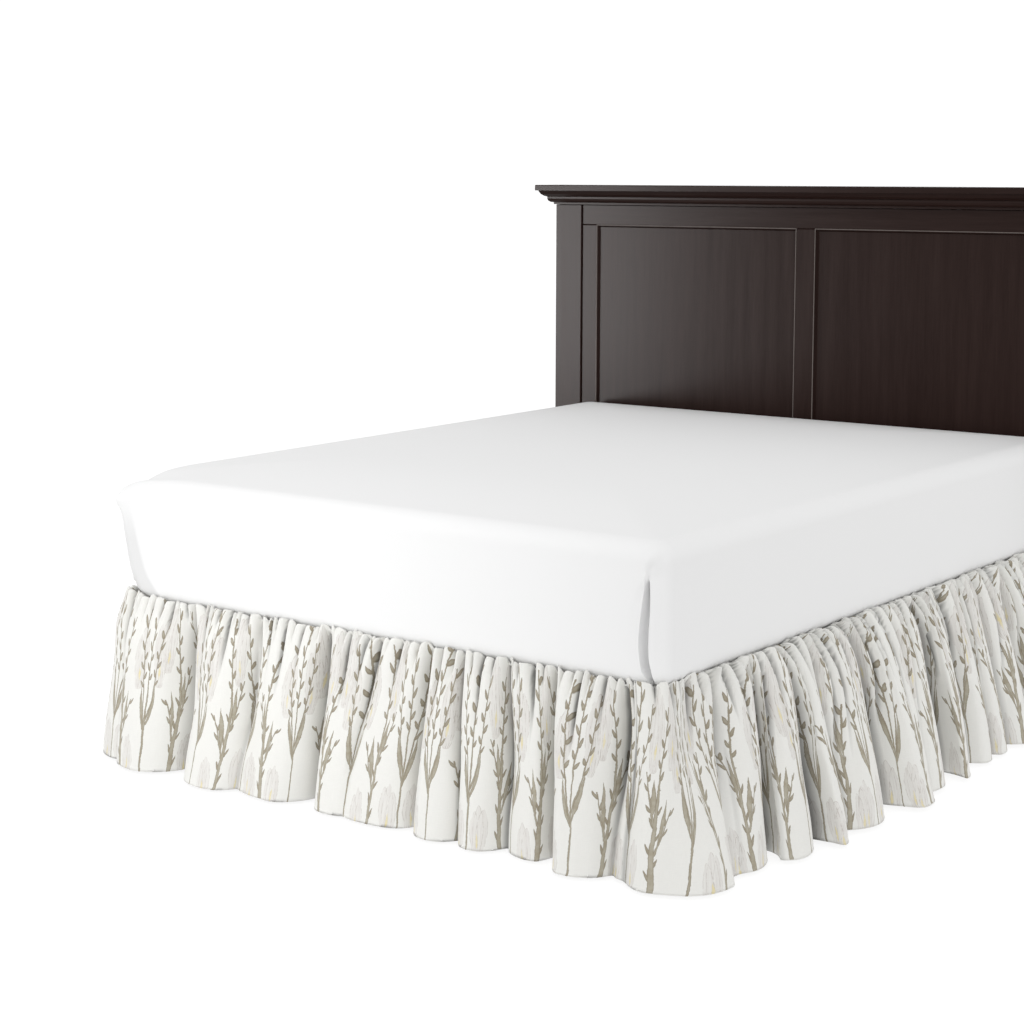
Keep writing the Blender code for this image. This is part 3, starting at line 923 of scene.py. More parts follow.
bpy.ops.object.select_all(action="DESELECT")
bpy.ops.mesh.primitive_grid_add(x_subdivisions=COLUMNS, y_subdivisions=len(DOWNS) - 1, size=1)
ruffle = bpy.context.object
ruffle.name = "gathered_ruffle"
ruffle.data.vertices.foreach_set("co", points)
uv_map = ruffle.data.uv_layers.active
uv_map.name = "cloth"
corner_vertices = [0] * len(ruffle.data.loops)
ruffle.data.loops.foreach_get("vertex_index", corner_vertices)
uv_map.data.foreach_set("uv", [value for i in corner_vertices for value in flat[i]])
ruffle.data.attributes.new("hollow", "FLOAT", "POINT").data.foreach_set("value", hollows)
ruffle.data.update()
bpy.ops.object.shade_smooth()
wall = ruffle.modifiers.new("thickness of the cloth", "SOLIDIFY")
wall.thickness = CLOTH
wall.offset = 0.0
bpy.ops.object.modifier_apply(modifier=wall.name)

# %% [markdown]
# ## The print
# The cotton has an off-white ground with a loose botanical print: rough branches with buds, slim
# stems with long leaves, and pale half-seen blooms low and high between them. Every shape has a
# left and a right edge, both read from the height above the hem by a curve node, and a place is
# inside where it lies between them. Where the edges cross there is no shape.

# %% Helpers for painted shapes
CELL = 0.148
PRINT_HEIGHT = 0.450
CROSSED = 0.004
TIP = 0.003


def painted(motif, rows):
    """How deep inside a shape a place is, in metres. Rows: height, left edge, right edge."""
    x, _, share = motif
    rows = sorted(rows)
    for (height, left, right), past in ((rows[0], -TIP), (rows[-1], TIP)):
        if height > 0:
            middle = (left + right) / 2
            rows.append((height + past, middle + CROSSED, middle - CROSSED))
    rows.sort()

    def edge(side):
        points = [(row[0] / PRINT_HEIGHT, 0.5 + row[side] / CELL) for row in rows]
        return (curve_of(share, points) - 0.5) * CELL

    return calc("MINIMUM", x - edge(1), edge(2) - x)


def joined(operation, values):
    total = values[0]
    for value in values[1:]:
        total = calc(operation, total, value)
    return total


# %% [markdown]
# A twig is a thin line that bows a little and thins upwards. Its buds sit by turns on its left and
# right. Each bud is a slanted drop: an oval that is narrower at its tip. A leaf is a lance: widest
# low down, with a long point.

# %% Twigs and leaves
LEAF_SHAPE = (
    # share of the height, share of the half width
    (0.0, 0.12), (0.15, 0.50), (0.35, 0.94), (0.50, 1.0), (0.70, 0.72), (0.88, 0.30), (1.0, 0.03),
)  # fmt: skip
BUD_SLANT = 0.34
BUD_TAPER = 0.42
BUD_HEIGHT = 2.25


def middle_of(line, height):
    low, start, high, end, bow = line
    part = ramp((height - low) / (high - low))
    return start + (end - start) * part + 4 * bow * part * (1 - part)


def twig(motif, line, widths, buds=None):
    """How deep inside a twig or its buds a place is, in metres."""
    x, height, _ = motif
    low, start, high, end, bow = line
    part = range_of(height, low, high)
    middle = part.scaled(end - start, start) + part * (1.0 - part) * (4 * bow)
    aside = x - middle
    inside = part.scaled(widths[1] - widths[0], widths[0]) - abs(aside)
    ends = calc("MINIMUM", height - (low - 0.001), high - height)
    inside = calc("MINIMUM", inside, ends)
    if not buds:
        return inside
    first, last, spacing, out, broad, side = buds
    count = (height - first) / spacing
    number = calc("FLOOR", count)
    turn = calc("MODULO", abs(number), 2.0).scaled(-2.0 * side, side)
    up = count - number - 0.5
    over = up.scaled(-BUD_SLANT * spacing, aside.scaled(turn, -out))
    over = over * up.scaled(2 * BUD_TAPER, 1.0)
    round_share = calc("POWER", over / broad, 2.0) + calc("POWER", up * BUD_HEIGHT, 2.0)
    bud = (1.0 - round_share) * (broad / 2)
    span = calc("MINIMUM", height - first, last - height)
    return calc("MAXIMUM", inside, calc("MINIMUM", bud, span))


def leaf(line, broad):
    low, _, high, _, _ = line
    rows = []
    for share, full in LEAF_SHAPE:
        height = low + share * (high - low)
        middle = middle_of(line, height)
        rows.append((height, middle - broad * full, middle + broad * full))
    return rows


# %% Where the twigs and leaves grow
# Line: foot, place there, top, place there, bow. Widths: at the foot and at the top.
# Buds: first, last, spacing, distance out, half width, and the side of the first.
ROUGH_BRANCH = [
    ((0.000, -0.003, 0.250, 0.008, 0.003), (0.0050, 0.0022),
     (0.020, 0.236, 0.030, 0.0056, 0.0028, 1)),
    ((0.240, 0.008, 0.402, -0.006, 0.002), (0.0020, 0.0012),
     (0.256, 0.400, 0.0240, 0.0046, 0.0033, -1)),
    ((0.084, 0.000, 0.190, -0.027, 0.001), (0.0024, 0.0014),
     (0.124, 0.196, 0.024, 0.0044, 0.0032, -1)),
    ((0.136, 0.006, 0.276, 0.034, 0.000), (0.0022, 0.0013),
     (0.176, 0.276, 0.025, 0.0044, 0.0034, 1)),
]  # fmt: skip
SLIM_STEM = [
    ((0.000, 0.003, 0.140, 0.000, 0.001), (0.0018, 0.0022), None),
    ((0.128, 0.000, 0.430, 0.003, -0.002), (0.0019, 0.0012),
     (0.236, 0.428, 0.024, 0.0047, 0.0034, 1)),
    ((0.112, 0.000, 0.402, -0.030, -0.004), (0.0018, 0.0012),
     (0.214, 0.404, 0.0238, 0.0047, 0.0033, -1)),
    ((0.132, 0.000, 0.384, 0.034, 0.004), (0.0018, 0.0012),
     (0.224, 0.386, 0.0232, 0.0047, 0.0033, 1)),
]  # fmt: skip
BRANCH_LEAVES = [
    leaf((0.104, -0.003, 0.214, -0.014, 0.000), 0.0048),
    leaf((0.160, 0.013, 0.262, 0.018, -0.001), 0.0044),
]
STEM_LEAVES = [
    leaf((0.108, 0.000, 0.222, -0.021, -0.003), 0.0044),
    leaf((0.118, 0.001, 0.236, 0.020, 0.003), 0.0044),
]
print(len(ROUGH_BRANCH) + len(SLIM_STEM), "twigs")

# %% [markdown]
# A bloom is three petals that overlap, so one rule draws them all. Each petal is a long oval.

# %% Blooms
PETALS = [
    # share of the width to the side, half width as a share of the width, share of the height
    (-0.24, 0.27, 0.93),
    (0.25, 0.26, 0.88),
    (0.01, 0.29, 1.00),
]
PETAL_SHAPE = (
    (0.0, 0.30), (0.18, 0.70), (0.42, 0.97), (0.60, 1.0), (0.80, 0.76), (0.93, 0.42), (1.0, 0.10),
)  # fmt: skip
PETAL_OPENING = 0.35
HEART_UP = 0.14
HEART_SIZE = (0.0030, 0.040)
BRANCH_BLOOMS = [
    # foot of the bloom, its middle, height, width
    (-0.016, 0.047, 0.122, 0.040),
    (0.224, -0.044, 0.160, 0.038),
]
STEM_BLOOMS = [
    (-0.034, -0.040, 0.126, 0.036),
    (0.262, 0.052, 0.150, 0.036),
]


def petal_rows(bloom, petal):
    foot, middle, height, width = bloom
    side, broad, tall = petal
    rows = []
    for up, full in PETAL_SHAPE:
        centre = middle + side * width * min(1.0, PETAL_OPENING + up)
        half = broad * width * full
        rows.append((foot + up * height * tall, centre - half, centre + half))
    kept = [row for row in rows if row[0] > 0]
    return kept if rows[0][0] > 0 else [(0.0, *kept[0][1:]), *kept]


def heart_rows(bloom):
    foot, middle, height, _ = bloom
    start = max(foot + HEART_UP * height, 0.004)
    line = (start, middle - 0.001, start + HEART_SIZE[1], middle + 0.002, 0.0)
    return leaf(line, HEART_SIZE[0])


print(len(BRANCH_BLOOMS) + len(STEM_BLOOMS), "blooms")

# %% [markdown]
# The finish reads two coordinates of the UV map, in metres: across the flat cloth, and up from the
# hem. The cloth is divided in cells. Slow noises shift each place a little, so that the lines look
# painted by hand, and motifs are turned over and resized by turns, so that no two lie side by side.

# %% Cells of the print
# Each wander is the scale of a noise and how far it shifts the paint.
WANDER_ACROSS = ((26, 0.006), (210, 0.0022))
WANDER_UP = ((17, 0.016),)

printed, shader = new_material("printed cotton", 0.88, 0.2)
feed(shader.inputs["Sheen Weight"], 0.08)
cloth = added(shader.id_data, "UVMap", uv_map="cloth")
u, v = axis_of(cloth, 0), axis_of(cloth, 1)
u_drawn, v_drawn = u, v
for scale, size in WANDER_ACROSS:
    u_drawn = (noise_of(cloth, scale) - 0.5).scaled(size, u_drawn)
for scale, size in WANDER_UP:
    v_drawn = (noise_of(cloth, scale) - 0.5).scaled(size, v_drawn)
cells = u_drawn / CELL
plain_cells = u / CELL
tall = v_drawn / PRINT_HEIGHT


def motif_place(shift, turn_every, low, size):
    """Place across and up in a motif. Every second or so of them is turned over and resized."""
    number = calc("FLOOR", plain_cells + shift)
    turned = calc("MODULO", calc("FLOOR", number / turn_every), 2.0)
    part = cells + shift - number
    part = part + turned * (1.0 - part * 2.0)
    share = tall.scaled(turned.scaled(size, 1.0), turned.scaled(low, 0.0))
    return (part - 0.5) * CELL, share * PRINT_HEIGHT, share


branch = motif_place(0.25, 1.0, -0.02, 0.09)
stem = motif_place(0.75, 2.0, 0.03, -0.06)
twigs = joined(
    "MAXIMUM",
    [twig(branch, *rows) for rows in ROUGH_BRANCH]
    + [twig(stem, *rows) for rows in SLIM_STEM]
    + [painted(branch, rows) for rows in BRANCH_LEAVES]
    + [painted(stem, rows) for rows in STEM_LEAVES],
)
bloom_spots = [(branch, b) for b in BRANCH_BLOOMS] + [(stem, b) for b in STEM_BLOOMS]
petals = [painted(motif, petal_rows(b, petal)) for motif, b in bloom_spots for petal in PETALS]
hearts = joined("MAXIMUM", [painted(motif, heart_rows(b)) for motif, b in bloom_spots])
bloom = joined("MAXIMUM", petals)
rim = joined("MINIMUM", [abs(petal) for petal in petals])
print("petals:", len(petals))

# %% [markdown]
# Paint covers the ground from pale to dark: the wash of the blooms, their thin rims, their yellow
# hearts, and over them the twigs, darker along their edges. The turned hem shows as one faint
# line. The weave is two stretched noises, the weft and the warp. Deep in folds and creases the
# colour is darkened too: a painted shade.

# %% Printed cotton
GROUND = (0.840, 0.836, 0.803, 1)
GROUND_PATCH = (0.790, 0.780, 0.735, 1)
TAUPE_DARK = (0.255, 0.215, 0.150, 1)
TAUPE = (0.385, 0.345, 0.265, 1)
TAUPE_PALE = (0.480, 0.450, 0.370, 1)
BLOOM = (0.700, 0.672, 0.640, 1)
BLOOM_LINE = (0.500, 0.455, 0.415, 1)
HEART = (0.800, 0.700, 0.380, 1)
HEM_FOLD = 0.0095
# Painted shade: the share of the colour left where the cloth lies deepest in a fold.
PAINTED_FOLD_SHADE = 0.38
MM = 0.001

patchy = noise_of(cloth, 60, 3.0, 0.6)
streaks = noise_of(cloth, 1.0, 2.0, 0.6, stretch=(380, 14, 1))
wash = range_of(bloom, 0.0, 0.8 * MM) * range_of(streaks, 0.30, 0.70, 0.15, 0.80)
line = range_of(rim, 0.8 * MM, 0.2 * MM) * range_of(patchy, 0.40, 0.60)
heart = range_of(hearts, 0.0, 1.2 * MM) * range_of(patchy, 0.3, 0.6, 0.3, 0.9)
twig_body = blend_of(range_of(patchy, 0.35, 0.68), TAUPE, TAUPE_PALE)
twig_paint = blend_of(range_of(twigs, 0.4 * MM, 1.8 * MM), TAUPE_DARK, twig_body)
hem_line = range_of(abs(v - HEM_FOLD), 0.8 * MM, 0.2 * MM)
colour = blend_of(patchy * 0.10, GROUND, GROUND_PATCH)
for share, paint in (
    (wash, BLOOM),
    (line * 0.75, BLOOM_LINE),
    (heart, HEART),
    (range_of(twigs, -0.1 * MM, 0.6 * MM), twig_paint),
    (hem_line * 0.22, TAUPE),
):
    colour = blend_of(share, colour, paint)

weft = noise_of(cloth, 1.0, 2.0, 0.6, stretch=(50, 900, 1))
warp = noise_of(cloth, 1.0, 2.0, 0.6, stretch=(900, 50, 1))
threads = weft + warp
# Painted shade: the colour of cloth that lies deep in a fold or crease is darkened.
painted_fold_shade = range_of(attribute_of(shader, "hollow"), 0.12, 1.0, 1.0, PAINTED_FOLD_SHADE)
shade = range_of(threads, 0.7, 1.3, 0.975, 1.02) * painted_fold_shade
inputs = {0: colour, "Scale": shade}
shaded = added(shader.id_data, "VectorMath", inputs, operation="SCALE")
feed(shader.inputs["Base Color"], shaded)
bump_of(shader, threads, 0.0006, 0.6)
ruffle.data.materials.append(printed)
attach(ruffle, "root")
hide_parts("ruffle")
print("print:", len(shader.id_data.nodes), "nodes")

# %% [markdown]
# ## The deck cloth
# The deck is the flat cloth that lies under the mattress. Only its edge could ever be seen, so it
# is one flat sheet of plain weave, with the same rounded foot corners as the edge line.

# %% Deck cloth
THREAD = 700
THREAD_LENGTH = 16
DECK_CORNER = 0.0475
DECK_CORNER_STEPS = 6


def plain_cloth(name, colour, dark):
    """A plain woven cloth: its threads show as small lines across and down."""
    material, shader = new_material(name, 0.9, 0.2)
    place = place_of(shader)
    long = THREAD / THREAD_LENGTH
    threads = noise_of(place, 1.0, 2.0, 0.6, stretch=(long, THREAD, THREAD))
    threads = threads + noise_of(place, 1.0, 2.0, 0.6, stretch=(THREAD, long, long))
    feed(shader.inputs["Base Color"], blend_of(range_of(threads, 0.7, 1.3), dark, colour))
    bump_of(shader, threads, 0.0003, 0.5)
    return material


deck_low, deck_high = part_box("deck")
deck_size = deck_high - deck_low
bpy.ops.object.select_all(action="DESELECT")
bpy.ops.mesh.primitive_cube_add(size=1, location=(deck_low + deck_high) / 2)
deck = bpy.context.object
deck.name = "deck_cloth"
deck.scale = deck_size
bpy.ops.object.transform_apply(location=True, rotation=True, scale=True)
bpy.ops.object.mode_set(mode="EDIT")
bpy.ops.mesh.select_mode(type="EDGE")
bpy.ops.mesh.select_all(action="DESELECT")
bpy.ops.object.mode_set(mode="OBJECT")
for edge in deck.data.edges:
    ends = [deck.data.vertices[i].co for i in edge.vertices]
    upright = abs(ends[0].z - ends[1].z) > 1e-5
    edge.select = upright and ends[0].y < 0
bpy.ops.object.mode_set(mode="EDIT")
bpy.ops.mesh.bevel(offset=DECK_CORNER, segments=DECK_CORNER_STEPS)
bpy.ops.object.mode_set(mode="OBJECT")
deck.data.materials.append(plain_cloth("deck weave", (0.82, 0.81, 0.78, 1), (0.74, 0.73, 0.70, 1)))
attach(deck, "root")
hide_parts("deck")
print("deck:", [round(side, 3) for side in deck_size])

# %% [markdown]
# ## The mattress
# The mattress wears a smooth white fitted sheet. The sheet is pulled tight over a crowned top and
# soft edges, and at each foot corner its spare cloth is folded in. The surface is lofted: a ring
# runs round the mattress, and rings of less width climb over the side to the top.

# %% Mattress rings
MATTRESS_X = 0.770
MATTRESS_FOOT = -1.004
MATTRESS_HEAD = 1.0125
MATTRESS_SIDE_TOP = 0.683
MATTRESS_CORNER = 0.050
MATTRESS_LEAST_CORNER = 0.018
MATTRESS_TOP_ROUND = 0.042
MATTRESS_CROWN = 0.027
CROWN_REACH = 0.42
CROWN_INSET = 0.74
CROWN_POWER = 1.4
BOTTOM_STEPS = 6
WALL_STEPS = 40
TOP_STEPS = 10
CROWN_STEPS = 14
SIDE_STEPS = 60
CORNER_STEPS = 44


def mattress_profile():
    """Rows of inset from the side and height, from the bottom face over the side to the top."""
    rows = []
    for step in range(BOTTOM_STEPS + 1):
        turn = pi / 2 * step / BOTTOM_STEPS
        height = MATTRESS_BOTTOM + MATTRESS_BOTTOM_ROUND * (1 - cos(turn))
        rows.append((MATTRESS_BOTTOM_ROUND * (1 - sin(turn)), height))
    low = MATTRESS_BOTTOM + MATTRESS_BOTTOM_ROUND
    high = MATTRESS_SIDE_TOP - MATTRESS_TOP_ROUND
    rows += [(0.0, low + (high - low) * step / WALL_STEPS) for step in range(1, WALL_STEPS)]
    for step in range(TOP_STEPS + 1):
        turn = pi / 2 * step / TOP_STEPS
        height = MATTRESS_SIDE_TOP - MATTRESS_TOP_ROUND * (1 - sin(turn))
        rows.append((MATTRESS_TOP_ROUND * (1 - cos(turn)), height))
    for step in range(1, CROWN_STEPS + 1):
        part = (step / CROWN_STEPS) ** CROWN_POWER
        inset = MATTRESS_TOP_ROUND + (CROWN_INSET - MATTRESS_TOP_ROUND) * part
        share = min(1.0, (inset - MATTRESS_TOP_ROUND) / (CROWN_REACH - MATTRESS_TOP_ROUND))
        rows.append((inset, MATTRESS_SIDE_TOP + MATTRESS_CROWN * sin(pi / 2 * share)))
    return rows


def ring(inset):
    """Places round the mattress, anticlockwise from the right foot corner, closer at corners."""
    radius = max(MATTRESS_CORNER - inset, MATTRESS_LEAST_CORNER)
    left, right = -MATTRESS_X + inset + radius, MATTRESS_X - inset - radius
    foot, head = MATTRESS_FOOT + inset + radius, MATTRESS_HEAD - inset - radius
    centres = ((right, foot), (right, head), (left, head), (left, foot))
    arcs = []
    for quarter, (x, y) in enumerate(centres):
        arc = []
        for step in range(CORNER_STEPS + 1):
            turn = radians(90.0 * quarter - 90.0 + 90.0 * step / CORNER_STEPS)
            arc.append(Vector((x + radius * cos(turn), y + radius * sin(turn), 0)))
        arcs.append(arc)
    places = []
    for arc, following in zip(arcs, arcs[1:] + arcs[:1]):
        places.extend(arc)
        for step in range(1, SIDE_STEPS):
            part = (1 - cos(pi * step / SIDE_STEPS)) / 2
            places.append(arc[-1].lerp(following[0], part))
    return places


profile = mattress_profile()
rings = [ring(inset) for inset, _ in profile]
print(len(rings), "rings of", len(rings[0]), "points")

# %% [markdown]
# At the right foot corner the spare cloth is folded in to an upright dart: a slit with a soft
# hollow round its top. Its two edges are given at a few heights.

# %% Dart of the fitted sheet
DART = [
    # height, left edge, right edge, measured across the foot side
    (0.405, 0.7310, 0.7420),
    (0.422, 0.7200, 0.7370),
    (0.445, 0.7150, 0.7310),
    (0.475, 0.7120, 0.7300),
    (0.515, 0.7145, 0.7315),
    (0.554, 0.7195, 0.7330),
    (0.590, 0.7255, 0.7325),
    (0.607, 0.7295, 0.7305),
]
DART_DEPTH = 0.030
DART_LINES = (0.7185, 0.7385)
DART_EASE = 0.045
DART_FADE = (0.607, 0.645)
DART_TOP = 0.609
DART_HOLLOW = 0.005
SOFT_EDGE = 0.8
HOLLOW_SIDES = (0.690, 0.775)
HOLLOW_ARC = (0.672, 24.0, 0.768)


def folded(across_foot, z):
    """Moves a place on the foot side sideways, so that columns follow both edges of the slit."""
    left, right = DART[-1][1:] if z >= DART[-1][0] else smooth_row(DART, max(z, DART[0][0]))
    start, stop = DART_LINES
    if across_foot <= start:
        moved = (left - start) * bell(across_foot - start, DART_EASE)
    elif across_foot < stop:
        part = (across_foot - start) / (stop - start)
        moved = left + part * (right - left) - across_foot
    else:
        moved = (right - stop) * bell(across_foot - stop, 0.5 * DART_EASE)
    return moved * (1 - step_up(z, *DART_FADE))


def dart_depth(across_foot, z):
    """How deep the sheet is folded in. The slit's left edge is sharp and its right edge is soft."""
    start, stop = DART_LINES
    slit = 0.0
    if across_foot > start:
        slit = DART_DEPTH * ramp((DART_TOP - z) / 0.02)
        slit *= 1 - step_up(across_foot, start + SOFT_EDGE * (stop - start), stop)
    top, fall, middle = HOLLOW_ARC
    hollow = DART_HOLLOW * ramp((top - fall * (middle - across_foot) ** 2 - z) / 0.02)
    left, right = HOLLOW_SIDES
    return slit + hollow * ramp((across_foot - left) / 0.03) * ramp((right - across_foot) / 0.02)


print("dart:", round(DART[-1][0] - DART[0][0], 3), "m high")

# %% [markdown]
# At the left foot corner the spare cloth lies in one flat fold instead. Its sharp edge slants
# across the foot side, and beyond it the sheet turns away to the left side. There the top corner
# hangs a little lower, and behind the fold a painted shade darkens the sheet's colour, for the
# shade that the fold casts.

# %% Fold of the left corner
CORNER_FOLD = [
    # height, place of the fold's edge across the foot side
    (0.385, -0.612),
    (0.4155, -0.630),
    (0.4504, -0.659),
    (0.508, -0.682),
    (0.5778, -0.7035),
    (0.6126, -0.716),
    (0.660, -0.735),
]
FOLD_LINE = -0.6847
FOLD_EASE = 0.09
FOLD_TURN = 0.12
FOLD_FADE = (0.60, 0.67)
FOLD_ALONG_SIDE = 0.3
SHADE_START = 0.010
SHADE_FADE = (0.52, 0.63)
SHADE_ALONG_SIDE = (0.04, 0.30)
CORNER_DROP = 0.045
DROP_REACH = 0.10
DROP_RISE = (0.57, 0.68)


def fold_edge(z):
    return smooth_row(CORNER_FOLD, min(max(z, CORNER_FOLD[0][0]), CORNER_FOLD[-1][0]))[0]


def corner_fold(x, y, z):
    """Moves a place near the left foot corner to the fold."""
    edge = fold_edge(z)
    turned = FOLD_TURN * (1 - step_up(z, *FOLD_FADE))
    if y < MATTRESS_FOOT + MATTRESS_CORNER:
        if x > -MATTRESS_X + 0.001:
            x += (edge - FOLD_LINE) * bell(x - FOLD_LINE, FOLD_EASE)
        return x, y + turned * max(0.0, edge - x)
    if x < -MATTRESS_X + 0.2:
        past_corner = (y - MATTRESS_FOOT - MATTRESS_CORNER) / FOLD_ALONG_SIDE
        y += turned * max(0.0, edge - x) * max(0.0, 1 - past_corner)
    return x, y


def fold_shade(x, y, z):
    """How far a place lies behind the fold, from 0 to 1. It fades along the left side."""
    behind = step_up(fold_edge(z) - x, 0.0, SHADE_START) * (1 - step_up(z, *SHADE_FADE))
    return behind * (1 - step_up(y - MATTRESS_FOOT, *SHADE_ALONG_SIDE))


def sheet_point(place, inset, z):
    """One point of the sheet, with the dart, the fold and the lower corner in it."""
    point = Vector((place.x, place.y, z))
    if place.x > 0 and place.y < MATTRESS_FOOT + 0.06 and inset < 0.03:
        near = 1 - step_up(place.y, MATTRESS_FOOT + 0.012, MATTRESS_FOOT + 0.05)
        point.x += near * folded(place.x, z)
        point.y += near * dart_depth(place.x, z)
    elif place.x < 0 and inset < 0.03:
        point.x, point.y = corner_fold(place.x, place.y, z)
    to_corner = hypot(place.x + MATTRESS_X, place.y - MATTRESS_FOOT)
    point.z -= CORNER_DROP * bell(to_corner, DROP_REACH) * step_up(z, *DROP_RISE)
    return point


print("fold edge at half height:", round(fold_edge(0.53), 3), "m")

# %% Loft the mattress
vertices, faces, shades = [], [], []
for (inset, z), places in zip(profile, rings):
    for place in places:
        point = sheet_point(place, inset, z)
        shades.append(fold_shade(point.x, point.y, z) if place.x < -0.5 else 0.0)
        vertices.append(point)
count = len(rings[0])
last_ring = (len(profile) - 1) * count
for low in range(0, last_ring, count):
    for i in range(count):
        j = (i + 1) % count
        faces.append((low + i, low + j, low + count + j, low + count + i))
faces.append(tuple(reversed(range(count))))
faces.append(tuple(range(last_ring, last_ring + count)))
mattress_mesh = bpy.data.meshes.new("mattress in fitted sheet")
mattress_mesh.from_pydata(vertices, [], faces)
mattress_mesh.attributes.new("painted shade behind fold", "FLOAT", "POINT").data.foreach_set("value", shades)
mattress = bpy.data.objects.new("mattress_in_fitted_sheet", mattress_mesh)
scene.collection.objects.link(mattress)
bpy.ops.object.select_all(action="DESELECT")
mattress.select_set(True)
bpy.context.view_layer.objects.active = mattress
bpy.ops.object.shade_smooth_by_angle(angle=radians(50))
print("mattress:", len(faces), "faces")

# %% [markdown]
# Smooth shading would blur the edges of the dart and of the fold, so the columns of edges that
# follow them are marked sharp.

# %% Sharp edges
SHARP_TO = 0.85

wall_start = BOTTOM_STEPS + 1
wall_ring = rings[wall_start]
foot_columns = [i for i, place in enumerate(wall_ring) if place.y < MATTRESS_FOOT + 0.001]
sharp_columns = [i for i in foot_columns if -0.004 < wall_ring[i].x - DART_LINES[0] < 0.001]
sharp_columns.append(min(foot_columns, key=lambda i: abs(wall_ring[i].x - FOLD_LINE)))
for edge in mattress_mesh.edges:
    (low, column), (high, other) = sorted(divmod(i, count) for i in edge.vertices)
    if column == other and column in sharp_columns and high < wall_start + SHARP_TO * WALL_STEPS:
        edge.use_edge_sharp = True
print("sharp columns at", [round(wall_ring[i].x, 4) for i in sharp_columns])

# %% [markdown]
# The sheet is plain white cotton. Its threads are far too fine to see, so a fine noise stands for
# them, and a slow one for the slack in the cloth. Behind the left corner fold its colour is mixed
# towards a grey: a painted shade.

# %% Finish of the fitted sheet
COTTON = ((0.86, 0.86, 0.86, 1), (0.88, 0.88, 0.88, 1))
COTTON_SHADED = (0.77, 0.77, 0.77, 1)

sheeting, shader = new_material("white fitted sheet", 0.9, 0.2)
place = place_of(shader)
threads = noise_of(place, 900)
slack = noise_of(place, 3.0)
# Painted shade: behind the left corner fold the white colour is mixed towards a grey.
behind = attribute_of(shader, "painted shade behind fold")
colour = blend_of(behind, blend_of(threads, *COTTON), COTTON_SHADED)
feed(shader.inputs["Base Color"], colour)
bump_of(shader, threads.scaled(0.02, slack), 0.006, 0.5)
mattress.data.materials.append(sheeting)
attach(mattress, "root")
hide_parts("mattress")
print("sheet on", mattress.name)

# %% [markdown]
# ## The foundation
# The foundation is a box covered in plain ticking. It is hidden, so its own solid keeps its shape
# and only gets its cloth.

# %% Foundation ticking
ticking = plain_cloth("ticking", (0.62, 0.61, 0.59, 1), (0.50, 0.49, 0.47, 1))
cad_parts["foundation"].data.materials.clear()
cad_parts["foundation"].data.materials.append(ticking)
print("ticking on the foundation")

# %% [markdown]
# ## Espresso wood
# The headboard is stained nearly black, with a satin varnish. The grain runs upright in the posts
# and panels, and along the rails and the crown. It is fine and only just lighter than the stain.

# %% Espresso wood
STAIN = ((0.0190, 0.0095, 0.0078, 1), (0.0270, 0.0145, 0.0122, 1))
# Painted highlight: the beads' much lighter stain stands for the light that their round faces
# catch.
PAINTED_HIGHLIGHT_STAIN = ((0.130, 0.108, 0.098, 1), (0.165, 0.140, 0.130, 1))
GRAIN = (34.0, 1.6)
PORES = (420.0, 16.0)
WOOD_GLOSS = (0.22, 0.28)
LEVEL_PIECES = ("rail_top", "rail_bottom", "crown")
DRESSED = ("ruffle", "deck", "mattress", "foundation")


def espresso(name, along, stains=STAIN):
    """Stained wood with its grain along one axis: 0 for left to right, 2 for upright."""
    material, shader = new_material(name, WOOD_GLOSS[0], 0.052)
    place = place_of(shader)

    def lines(across_grain, along_grain, detail, roughness):
        stretch = [across_grain] * 3
        stretch[along] = along_grain
        return noise_of(place, 1.0, detail, roughness, stretch=stretch)

    mixed = lines(*PORES, 2.0, 0.5).scaled(0.35, lines(*GRAIN, 5.0, 0.62) * 0.75)
    stain = blend_of(range_of(mixed, 0.40, 0.72), *stains)
    feed(shader.inputs["Base Color"], stain)
    feed(shader.inputs["Roughness"], range_of(mixed, 0.3, 0.8, *WOOD_GLOSS))
    bump_of(shader, mixed, 0.0005, 0.2)
    return material


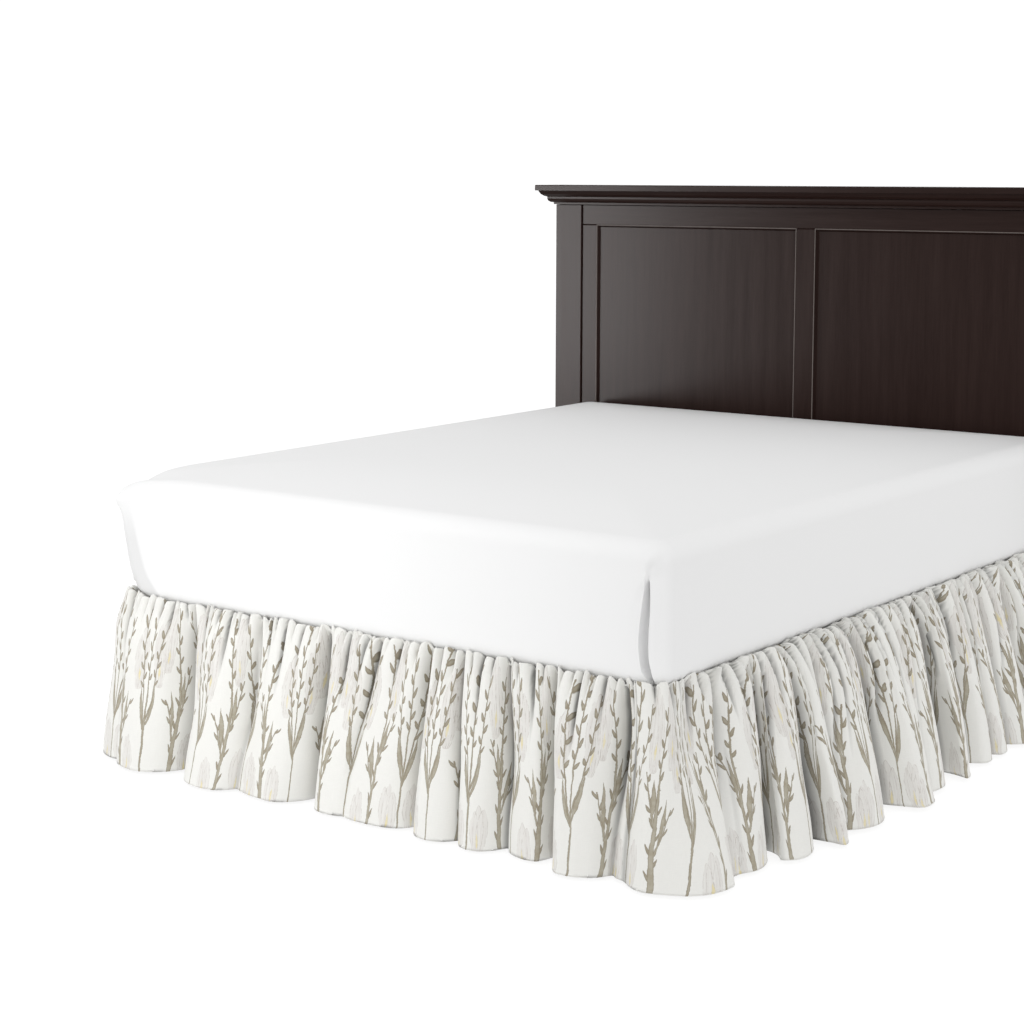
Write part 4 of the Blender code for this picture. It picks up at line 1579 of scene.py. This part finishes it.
upright_wood = espresso("espresso wood upright", 2)
level_wood = espresso("espresso wood level", 0)
# Painted highlight: a lighter copy of the wood for the panel beads.
painted_highlight_wood = espresso("bead with painted highlight", 2, PAINTED_HIGHLIGHT_STAIN)
for name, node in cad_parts.items():
    if name not in DRESSED:
        node.data.materials.clear()
        node.data.materials.append(level_wood if name in LEVEL_PIECES else upright_wood)
print("wood on", len(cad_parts) - len(DRESSED), "pieces")

# %% [markdown]
# A thin round bead runs round each panel, where the panel meets its frame. Its round face catches
# the light, and a much lighter stain on it paints a highlight, so a fine lighter line follows the
# panel. A rectangle of edges is turned into a curve, given a round section, and made a mesh again.

# %% Panel beads
BEAD_RADIUS = 0.0021
BEAD_ROUNDNESS = 3

mullion_low, mullion_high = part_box("mullion")
rail_low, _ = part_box("rail_top")
_, base_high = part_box("rail_bottom")
for side in ("left", "right"):
    stile_low, stile_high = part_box("stile_" + side)
    x_low = stile_high.x if side == "left" else mullion_high.x
    x_high = mullion_low.x if side == "left" else stile_low.x
    bpy.ops.object.select_all(action="DESELECT")
    middle = ((x_low + x_high) / 2, stile_low.y, (rail_low.z + base_high.z) / 2)
    bpy.ops.mesh.primitive_plane_add(size=1, location=middle, rotation=(pi / 2, 0, 0))
    bead = bpy.context.object
    bead.name = "panel_bead_" + side
    bead.scale = (x_high - x_low, rail_low.z - base_high.z, 1)
    bpy.ops.object.transform_apply(location=True, rotation=True, scale=True)
    bpy.ops.object.mode_set(mode="EDIT")
    bpy.ops.mesh.delete(type="ONLY_FACE")
    bpy.ops.object.mode_set(mode="OBJECT")
    bpy.ops.object.convert(target="CURVE")
    bead.data.bevel_depth = BEAD_RADIUS
    bead.data.bevel_resolution = BEAD_ROUNDNESS
    bpy.ops.object.convert(target="MESH")
    bpy.ops.object.shade_smooth()
    bead.data.materials.clear()
    bead.data.materials.append(painted_highlight_wood)
    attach(bead, "root")
    print(bead.name, [round(value, 3) for value in middle])

# %% Finish
low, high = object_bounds()
print("dressed size:", [round(side, 3) for side in high - low])
